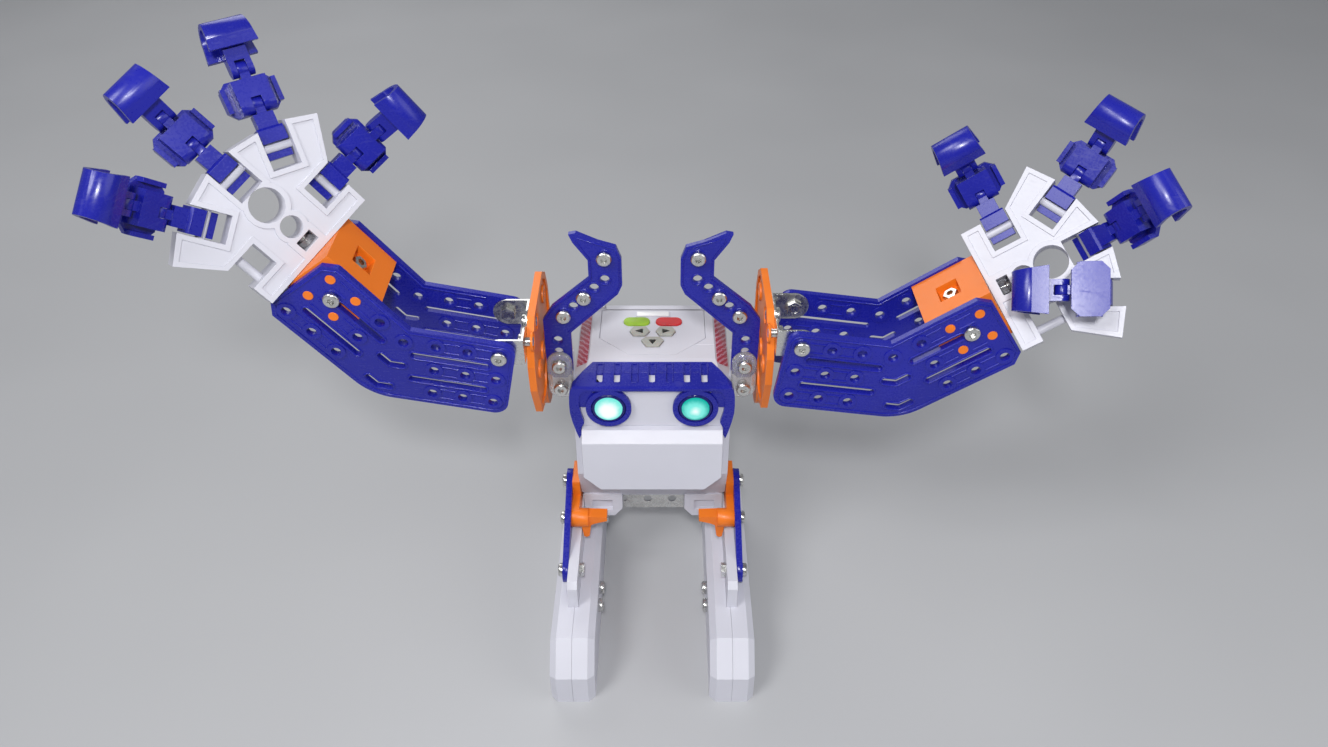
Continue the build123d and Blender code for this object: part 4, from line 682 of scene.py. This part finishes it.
class ROBOT_OT_mask(bpy.types.Operator):
    """Blue mask, lit lenses and the bezels and studs round them"""

    bl_idname = "robot.mask"
    bl_label = "Mask and eyes"

    # Bezel: how far each point lies outside the lens and in front of its seat
    bezel_profile = ((0.10, 0), (0.10, 0.75), (0.45, 1.1), (1.0, 0.95), (1.6, 0.35), (1.7, 0))
    bezel_seat = 0.9
    stud_count = 8
    stud_ring = 9.2
    stud_radius = 0.45
    stud_foot, stud_top = 0.4, -0.02
    # Slots of the visor: across the head, then from their back to their front end
    side_slots = 3  # on either side of the middle one
    slot_pitch = 8.0
    slot_half = 1.35
    slot_back, crease, slot_turn, slot_end = 6.4, 0.5, -5.1, -5.7
    corner = 0.5
    crease_gap = 0.7
    # Upper face of the visor: its height at the crease, and how it rises either way
    crease_height = 132.5
    front_slope = 1.3 / 8.55
    back_slope = 0.9 / 7.1

    def execute(self, context):
        look = context.scene.robot_finish
        dress("blue_plastic", look.edge, "face_mask")
        low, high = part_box("eye_lenses")
        height = (low.z + high.z) / 2
        radius = (high.z - low.z) / 2
        eyes = [(low.x + radius, low.y, height), (high.x - radius, low.y, height)]
        paint("eye_lenses", lens_glow("lit lens", look.glow, eyes, radius))
        for tag, eye in zip(SIDES, eyes):
            self.bezel(tag, Vector(eye), radius)
            self.studs(tag, Vector(eye))
        self.lips(context.scene.robot_trim.lip / MM)
        return {"FINISHED"}

    def studs(self, tag, eye):
        """Low studs round the eye ring."""
        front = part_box("face_mask")[0].y / MM
        step = 360 / self.stud_count
        lines = []
        for k in range(self.stud_count):
            angle = math.radians(step / 2 + step * k)
            x = eye.x / MM + self.stud_ring * math.cos(angle)
            z = eye.z / MM + self.stud_ring * math.sin(angle)
            ends = [(x, front + self.stud_foot, z), (x, front + self.stud_top, z)]
            lines.append((ends, False))
        mesh = beads_mesh(f"{tag}_eye_studs", lines, self.stud_radius)
        mesh.transform(TO_METRES)
        add_piece(f"{tag}_eye_studs", mesh, finish_of("blue_plastic"), "body")

    def lips(self, radius):
        """Raised lips round the seven slots of the visor and a fine crease between them."""
        side = self.slot_half + radius
        lines = []
        for k in range(-self.side_slots, self.side_slots + 1):
            middle = self.slot_pitch * k
            left, right = middle - side, middle + side
            lip = [(left, self.slot_back), (left, self.crease), (left, self.slot_turn),
                   (left + self.corner, self.slot_end), (right - self.corner, self.slot_end),
                   (right, self.slot_turn), (right, self.crease), (right, self.slot_back)]
            lines.append(self.on_visor(lip))
            if k < self.side_slots:
                after = middle + self.slot_pitch - side
                ends = (right + self.crease_gap, after - self.crease_gap)
                lines.append(self.on_visor([(x, self.crease) for x in ends]))
        mesh = beads_mesh("visor_lips", lines, radius)
        mesh.transform(HEAD_PLACE)
        add_piece("visor_lips", mesh, finish_of("blue_plastic"), "body")

    def on_visor(self, path):
        """An open line of points laid on the visor's upper face."""
        return [(x, y, self.height(y)) for x, y in path], False

    def height(self, y):
        """Height of the visor's upper face, which bends at its crease."""
        slope = self.front_slope if y < self.crease else self.back_slope
        return self.crease_height + (y - self.crease) * slope

    def bezel(self, tag, eye, radius):
        """Dark ring round a lens."""
        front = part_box("face_mask")[0].y
        profile = [(radius + out * MM, depth * MM) for out, depth in self.bezel_profile]
        centre = Vector((eye.x, front + self.bezel_seat * MM, eye.z))
        mesh = lathe_mesh(f"{tag}_eye_bezel", profile, centre, (0, -1, 0))
        add_piece(f"{tag}_eye_bezel", mesh, finish_of("dark_blue"), "body")


class ROBOT_OT_hatch(bpy.types.Operator):
    """Diagonal printed bands on the two chamfers beside the keypad"""

    bl_idname = "robot.hatch"
    bl_label = "Hatched bands"

    ground = (0.62, 0.34, 0.45)
    band = ((-3.9, -20.5), (3.9, -16.5), (3.9, 19.5), (-3.9, 19.5))
    corner = 0.8
    foil_low, foil_high, foil_round = 0.02, 0.14, 0.05
    middle = (33.0, 29.0, 129.5)
    chamfer_deg = 45

    def execute(self, context):
        look, trim = context.scene.robot_finish, context.scene.robot_trim
        foil = hatch_print("hatch print", look.hatch, self.ground, trim.stroke)
        x, y, z = self.middle
        for tag, side in SIDES.items():
            outline = rounded(self.band, (self.corner,) * 4, 4)
            if side < 0:
                outline = [(-px, py) for px, py in reversed(outline)]
            lean = Matrix.Rotation(math.radians(self.chamfer_deg * side), 4, "Y")
            middle = SHIFT + Vector((x * side, y, z)) * MM
            place = Matrix.Translation(middle) @ lean @ TO_METRES
            mesh = prism_mesh(f"{tag}_hatch_band", outline, self.foil_low, self.foil_high,
                              self.foil_round, place)
            add_piece(f"{tag}_hatch_band", mesh, foil, "body")
        return {"FINISHED"}


class ROBOT_OT_keypad(bpy.types.Operator):
    """Keypad buttons with black arrow marks, and the blank label behind them"""

    bl_idname = "robot.keypad"
    bl_label = "Keypad"

    label_x, label_y = 7.9, 1.9
    label_corner = 0.5
    label_place = (0, 47.1, 133.8)
    label_low, label_high, label_round = 0.01, 0.16, 0.05
    arrow_points = ((2.2, 0), (-1.45, 1.75), (-1.45, -1.75))
    arrow_corner = 0.25
    arrow_sink = 0.5
    arrow_high, arrow_round = 0.42, 0.08

    def execute(self, context):
        edge = context.scene.robot_finish.edge
        dress("green_rubber", edge, "go_button")
        dress("red_rubber", edge, "stop_button")
        dress("grey_rubber", edge, "left_button", "right_button", "down_button")
        for node, turn in (("left_button", 180), ("right_button", 0), ("down_button", 270)):
            self.arrow(node, turn)
        self.label()
        return {"FINISHED"}

    def label(self):
        """A blank glossy label on the raised window behind the two long buttons."""
        x, y = self.label_x, self.label_y
        outline = rounded([(-x, -y), (x, -y), (x, y), (-x, y)], (self.label_corner,) * 4, 4)
        place = Matrix.Translation(SHIFT + Vector(self.label_place) * MM) @ TO_METRES
        mesh = prism_mesh("key_label", outline, self.label_low, self.label_high,
                          self.label_round, place)
        add_piece("key_label", mesh, finish_of("label_white"), "body")

    def arrow(self, node, turn):
        """A raised arrow mark on a button, turned by degrees."""
        low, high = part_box(node)
        foot = high.z - self.arrow_sink * MM
        middle = Vector(((low.x + high.x) / 2, (low.y + high.y) / 2, foot))
        spin = Matrix.Rotation(math.radians(turn), 4, "Z")
        outline = rounded(self.arrow_points, (self.arrow_corner,) * 3, 3)
        name = node.replace("button", "arrow_mark")
        mesh = prism_mesh(name, outline, 0.0, self.arrow_high, self.arrow_round,
                          Matrix.Translation(middle) @ spin @ TO_METRES)
        add_piece(name, mesh, finish_of("black_ink"), node)


class ROBOT_OT_shoulders(bpy.types.Operator):
    """Orange shoulder plates, their shafts and brackets, the horns and clear links"""

    bl_idname = "robot.shoulders"
    bl_label = "Shoulders and horns"

    # Right horn as seen from the front: across, height
    horn = ((36.3, 132.0), (39.3, 128.5), (45.3, 128.5), (48.3, 132.0), (48.3, 160.0),
            (43.8, 167.0), (27.0, 181.5), (27.0, 190.5), (32.6, 199.4), (31.3, 202.6),
            (22.5, 199.4), (14.8, 197.0), (12.6, 191.0), (12.6, 178.0), (14.6, 173.4),
            (36.3, 153.0))
    open_holes = ((20.0, 181.0), (24.8, 176.8), (34.3, 167.2), (42.3, 149.05))
    horn_front = 3.05
    ridge_inset = 1.1
    ridge_low = 144  # the clear link covers the horn below this
    ridge_share = 0.8  # of the bead radius
    hole_ring = 2.65

    def execute(self, context):
        edge = context.scene.robot_finish.edge
        fine = edge * FINE_EDGE
        for tag in SIDES:
            dress("orange_plastic", edge, f"{tag}_shoulder_plate")
            dress("steel", fine, f"{tag}_shoulder_shaft", f"{tag}_arm_brackets")
        dress("blue_plastic", edge, "horn_plates")
        self.ridges(context.scene.robot_trim.bead / MM * self.ridge_share)
        dress("clear_plastic", fine, "clear_links")
        dress("steel", fine, "body_screws")
        return {"FINISHED"}

    def ridges(self, radius):
        """A raised line along the rim of both horns, and a ring round each open hole."""
        front = self.horn_front
        rim = inset_line(self.horn, self.ridge_inset)
        lines = []
        for side in SIDES.values():
            upper = [(side * x, front, z) for x, z in rim if z > self.ridge_low]
            lines.append((upper, False))
            for hole in self.open_holes:
                ring = arc(hole, self.hole_ring, 0, 345, 15)
                lines.append(([(side * x, front, z) for x, z in ring], True))
        mesh = beads_mesh("horn_ridges", lines, radius)
        mesh.transform(HEAD_PLACE)
        add_piece("horn_ridges", mesh, finish_of("blue_plastic"), "body")


class ROBOT_OT_arms(bpy.types.Operator):
    """Perforated arm plates with raised beads, the wrist blocks and their screws"""

    bl_idname = "robot.arms"
    bl_label = "Arms"

    plate_edge = 0.7  # share of the edge rounding
    inset = 1.5  # of the line along the rim
    reach = 1.9  # of the line round a slot
    link_side = 2.3
    link_start = RING_R - 0.7
    # The rear plate's lines keep clear of the pivot and of the wrist block
    pivot_clear = 9.5
    rear_start = 10.0
    rear_end = 13.5
    # Wrist nut: place on the outer length, and its section as radius and height
    nut_place = (28.5, -4.95)
    nut_profile = ((1.6, 0), (1.6, 2.4), (2.9, 2.4), (3.2, 2.1), (3.2, 0))
    nut_sides = 6

    def execute(self, context):
        edge = context.scene.robot_finish.edge
        for tag in SIDES:
            dress("blue_plastic", edge * self.plate_edge, f"{tag}_arm_plates")
            dress("orange_plastic", edge, f"{tag}_wrist_block")
            dress("steel", edge * FINE_EDGE, f"{tag}_arm_screws")
            self.beads(tag, context.scene.robot_trim.bead / MM)
            self.nut(tag)
        return {"FINISHED"}

    def beads(self, tag, radius):
        """Raised lines on the front of both plates of an arm."""
        layers = ((self.front_lines(), ARM_GAP / 2 + ARM_T), (self.rear_lines(), -ARM_GAP / 2))
        lines = []
        for found, height in layers:
            lines += [([(x, y, height) for x, y in points], closed) for points, closed in found]
        mesh = beads_mesh(f"{tag}_arm_beads", lines, radius)
        mesh.transform(arm_matrix(tag))
        add_piece(f"{tag}_arm_beads", mesh, finish_of("blue_plastic"), f"{tag}_arm")

    def front_lines(self):
        """All the lines of the front plate."""
        inner, outer = slot_paths()
        lines = []
        for row in range(ROWS):
            lines += self.row_links(inner_row(row))
        lines.append((plate_line(self.inset), True))
        lines += [(rim_line(path, self.reach), True) for path in inner + outer]
        for row in range(ROWS):
            lines += self.row_links(outer_row(row))
        return lines

    def rear_lines(self):
        """The lines of the rear plate that show between the pivot and the wrist block."""
        inner, _ = slot_paths()
        top, low = HALF - self.inset, HALF - ARM_W + self.inset
        lines = []
        for row in range(ROWS):
            lines += [link for link in self.row_links(inner_row(row))
                      if min(math.hypot(*end) for end in link[0]) > self.pivot_clear]
        lines.append((rim_line(inner[1], self.reach), True))
        bend = (BEND_A + self.inset * BEND_TAN, top)
        lines.append(([(self.rear_start, top), bend, bent(self.rear_end, -self.inset)], False))
        lines.append(([(self.rear_start, low), (BEND_A, low)], False))
        return lines

    def nut(self, tag):
        """Six-sided steel nut in the pocket on top of the wrist block."""
        arm = arm_matrix(tag)
        turn = math.radians(BEND_DEG)
        way = arm.to_3x3() @ Vector((-math.sin(turn), math.cos(turn), 0))
        profile = [(radius * MM, height * MM) for radius, height in self.nut_profile]
        centre = arm @ Vector((*bent(*self.nut_place), 0))
        mesh = lathe_mesh(f"{tag}_wrist_nut", profile, centre, way.normalized(), self.nut_sides)
        add_piece(f"{tag}_wrist_nut", mesh, finish_of("steel"), f"{tag}_arm", False)

    def row_links(self, holes):
        """Two short beads between neighbouring holes of a row."""
        found = []
        for a, b in zip(holes, holes[1:]):
            a, b = Vector(a), Vector(b)
            way = (b - a).normalized()
            side = Vector((-way.y, way.x)) * self.link_side
            for s in (side, -side):
                start, end = a + way * self.link_start + s, b - way * self.link_start + s
                found.append(([tuple(start), tuple(end)], False))
        return found


class ROBOT_OT_hands(bpy.types.Operator):
    """White palms and blue fingers"""

    bl_idname = "robot.hands"
    bl_label = "Hands"

    palm_edge = 1.2  # share of the edge rounding

    def execute(self, context):
        edge = context.scene.robot_finish.edge
        for tag in SIDES:
            dress("white_plastic", edge * self.palm_edge, f"{tag}_palm")
            for finger in FINGERS:
                for part in ("knuckle", "link", "tip"):
                    dress("blue_plastic", edge, f"{tag}_{finger}_{part}")
        return {"FINISHED"}


class ROBOT_OT_legs(bpy.types.Operator):
    """Long white feet, their fins, blue leg strips and orange hips"""

    bl_idname = "robot.legs"
    bl_label = "Legs"

    def execute(self, context):
        edge = context.scene.robot_finish.edge
        dress("white_plastic", edge, "foot_shells", "leg_fins")
        dress("blue_plastic", edge, "leg_strips")
        dress("orange_plastic", edge, "hip_brackets")
        return {"FINISHED"}


class ROBOT_OT_stage(bpy.types.Operator):
    """Pale floor, soft lights and the camera"""

    bl_idname = "robot.stage"
    bl_label = "Stage"

    floor_steps = 8
    sky = (0.80, 0.82, 0.86, 1)
    sky_strength = 0.28
    aim = (0, 0, 0.12)
    # Lights: name, place, width and the setting that holds its power
    lamps = (("Key light", (-0.75, -0.75, 1.35), 0.6, "key"),
             ("Fill light", (1.3, -0.5, 0.9), 1.2, "fill"),
             ("Back light", (-0.5, 1.2, 1.1), 1.0, "fill"),
             ("Lens light", (0.0, -0.46, 0.60), 0.08, "spark"))
    camera_place = (5.5, -350.0, 400.0)
    camera_down_deg = 37.4
    sensor = 36.0
    near = 0.01

    def execute(self, context):
        stage = context.scene.robot_stage
        self.floor(context, stage.floor)
        self.camera(context, stage.lens)
        for name, place, size, power in self.lamps:
            self.light(context, name, place, size, getattr(stage, power))
        world = bpy.data.worlds.new("Soft studio")
        world.use_nodes = True
        sky = world.node_tree.nodes["Background"]
        sky.inputs["Color"].default_value = self.sky
        sky.inputs["Strength"].default_value = self.sky_strength
        context.scene.world = world
        context.scene.view_settings.view_transform = "Standard"
        return {"FINISHED"}

    def floor(self, context, size):
        bm = bmesh.new()
        bmesh.ops.create_grid(bm, x_segments=self.floor_steps, y_segments=self.floor_steps,
                              size=size / 2)
        mesh = bpy.data.meshes.new("floor")
        bm.to_mesh(mesh)
        bm.free()
        floor = bpy.data.objects.new("floor", mesh)
        context.scene.collection.objects.link(floor)
        floor.data.materials.append(floor_paint("pale floor"))

    def camera(self, context, lens):
        data = bpy.data.cameras.new("Camera")
        data.lens = lens
        data.sensor_width = self.sensor
        data.clip_start = self.near
        camera = bpy.data.objects.new("Camera", data)
        camera.location = SHIFT + Vector(self.camera_place) * MM
        camera.rotation_euler = (math.radians(90 - self.camera_down_deg), 0, 0)
        context.scene.collection.objects.link(camera)
        context.scene.camera = camera

    def light(self, context, name, place, size, power):
        """A round area light that faces the middle of the robot."""
        data = bpy.data.lights.new(name, "AREA")
        data.shape = "DISK"
        data.size = size
        data.energy = power
        lamp = bpy.data.objects.new(name, data)
        lamp.location = place
        way = Vector(self.aim) - Vector(place)
        lamp.rotation_euler = way.to_track_quat("-Z", "Y").to_euler()
        context.scene.collection.objects.link(lamp)


class ROBOT_PT_panel(bpy.types.Panel):
    """Buttons and settings for the robot."""

    bl_idname = "ROBOT_PT_panel"
    bl_label = "Kit Robot"
    bl_space_type = "VIEW_3D"
    bl_region_type = "UI"
    bl_category = "Kit Robot"

    def draw(self, context):
        for group in ("robot_finish", "robot_trim", "robot_stage"):
            settings = getattr(context.scene, group)
            box = self.layout.box()
            for key in settings.__annotations__:
                box.prop(settings, key)
        for operator in OPERATORS:
            self.layout.operator(operator.bl_idname)


GROUPS = {"robot_finish": RobotFinish, "robot_trim": RobotTrim, "robot_stage": RobotStage}
OPERATORS = (ROBOT_OT_stage, ROBOT_OT_casing, ROBOT_OT_mask, ROBOT_OT_hatch, ROBOT_OT_keypad,
             ROBOT_OT_shoulders, ROBOT_OT_arms, ROBOT_OT_hands, ROBOT_OT_legs)


def register():
    for kind in (*GROUPS.values(), *OPERATORS, ROBOT_PT_panel):
        bpy.utils.register_class(kind)
    for name, kind in GROUPS.items():
        setattr(bpy.types.Scene, name, bpy.props.PointerProperty(type=kind))


def unregister():
    for name in GROUPS:
        delattr(bpy.types.Scene, name)
    for kind in reversed((*GROUPS.values(), *OPERATORS, ROBOT_PT_panel)):
        bpy.utils.unregister_class(kind)


def main():
    register()
    for operator in OPERATORS:
        group, call = operator.bl_idname.split(".")
        getattr(getattr(bpy.ops, group), call)()
    bpy.context.view_layer.update()


if __name__ == "__main__":
    main()
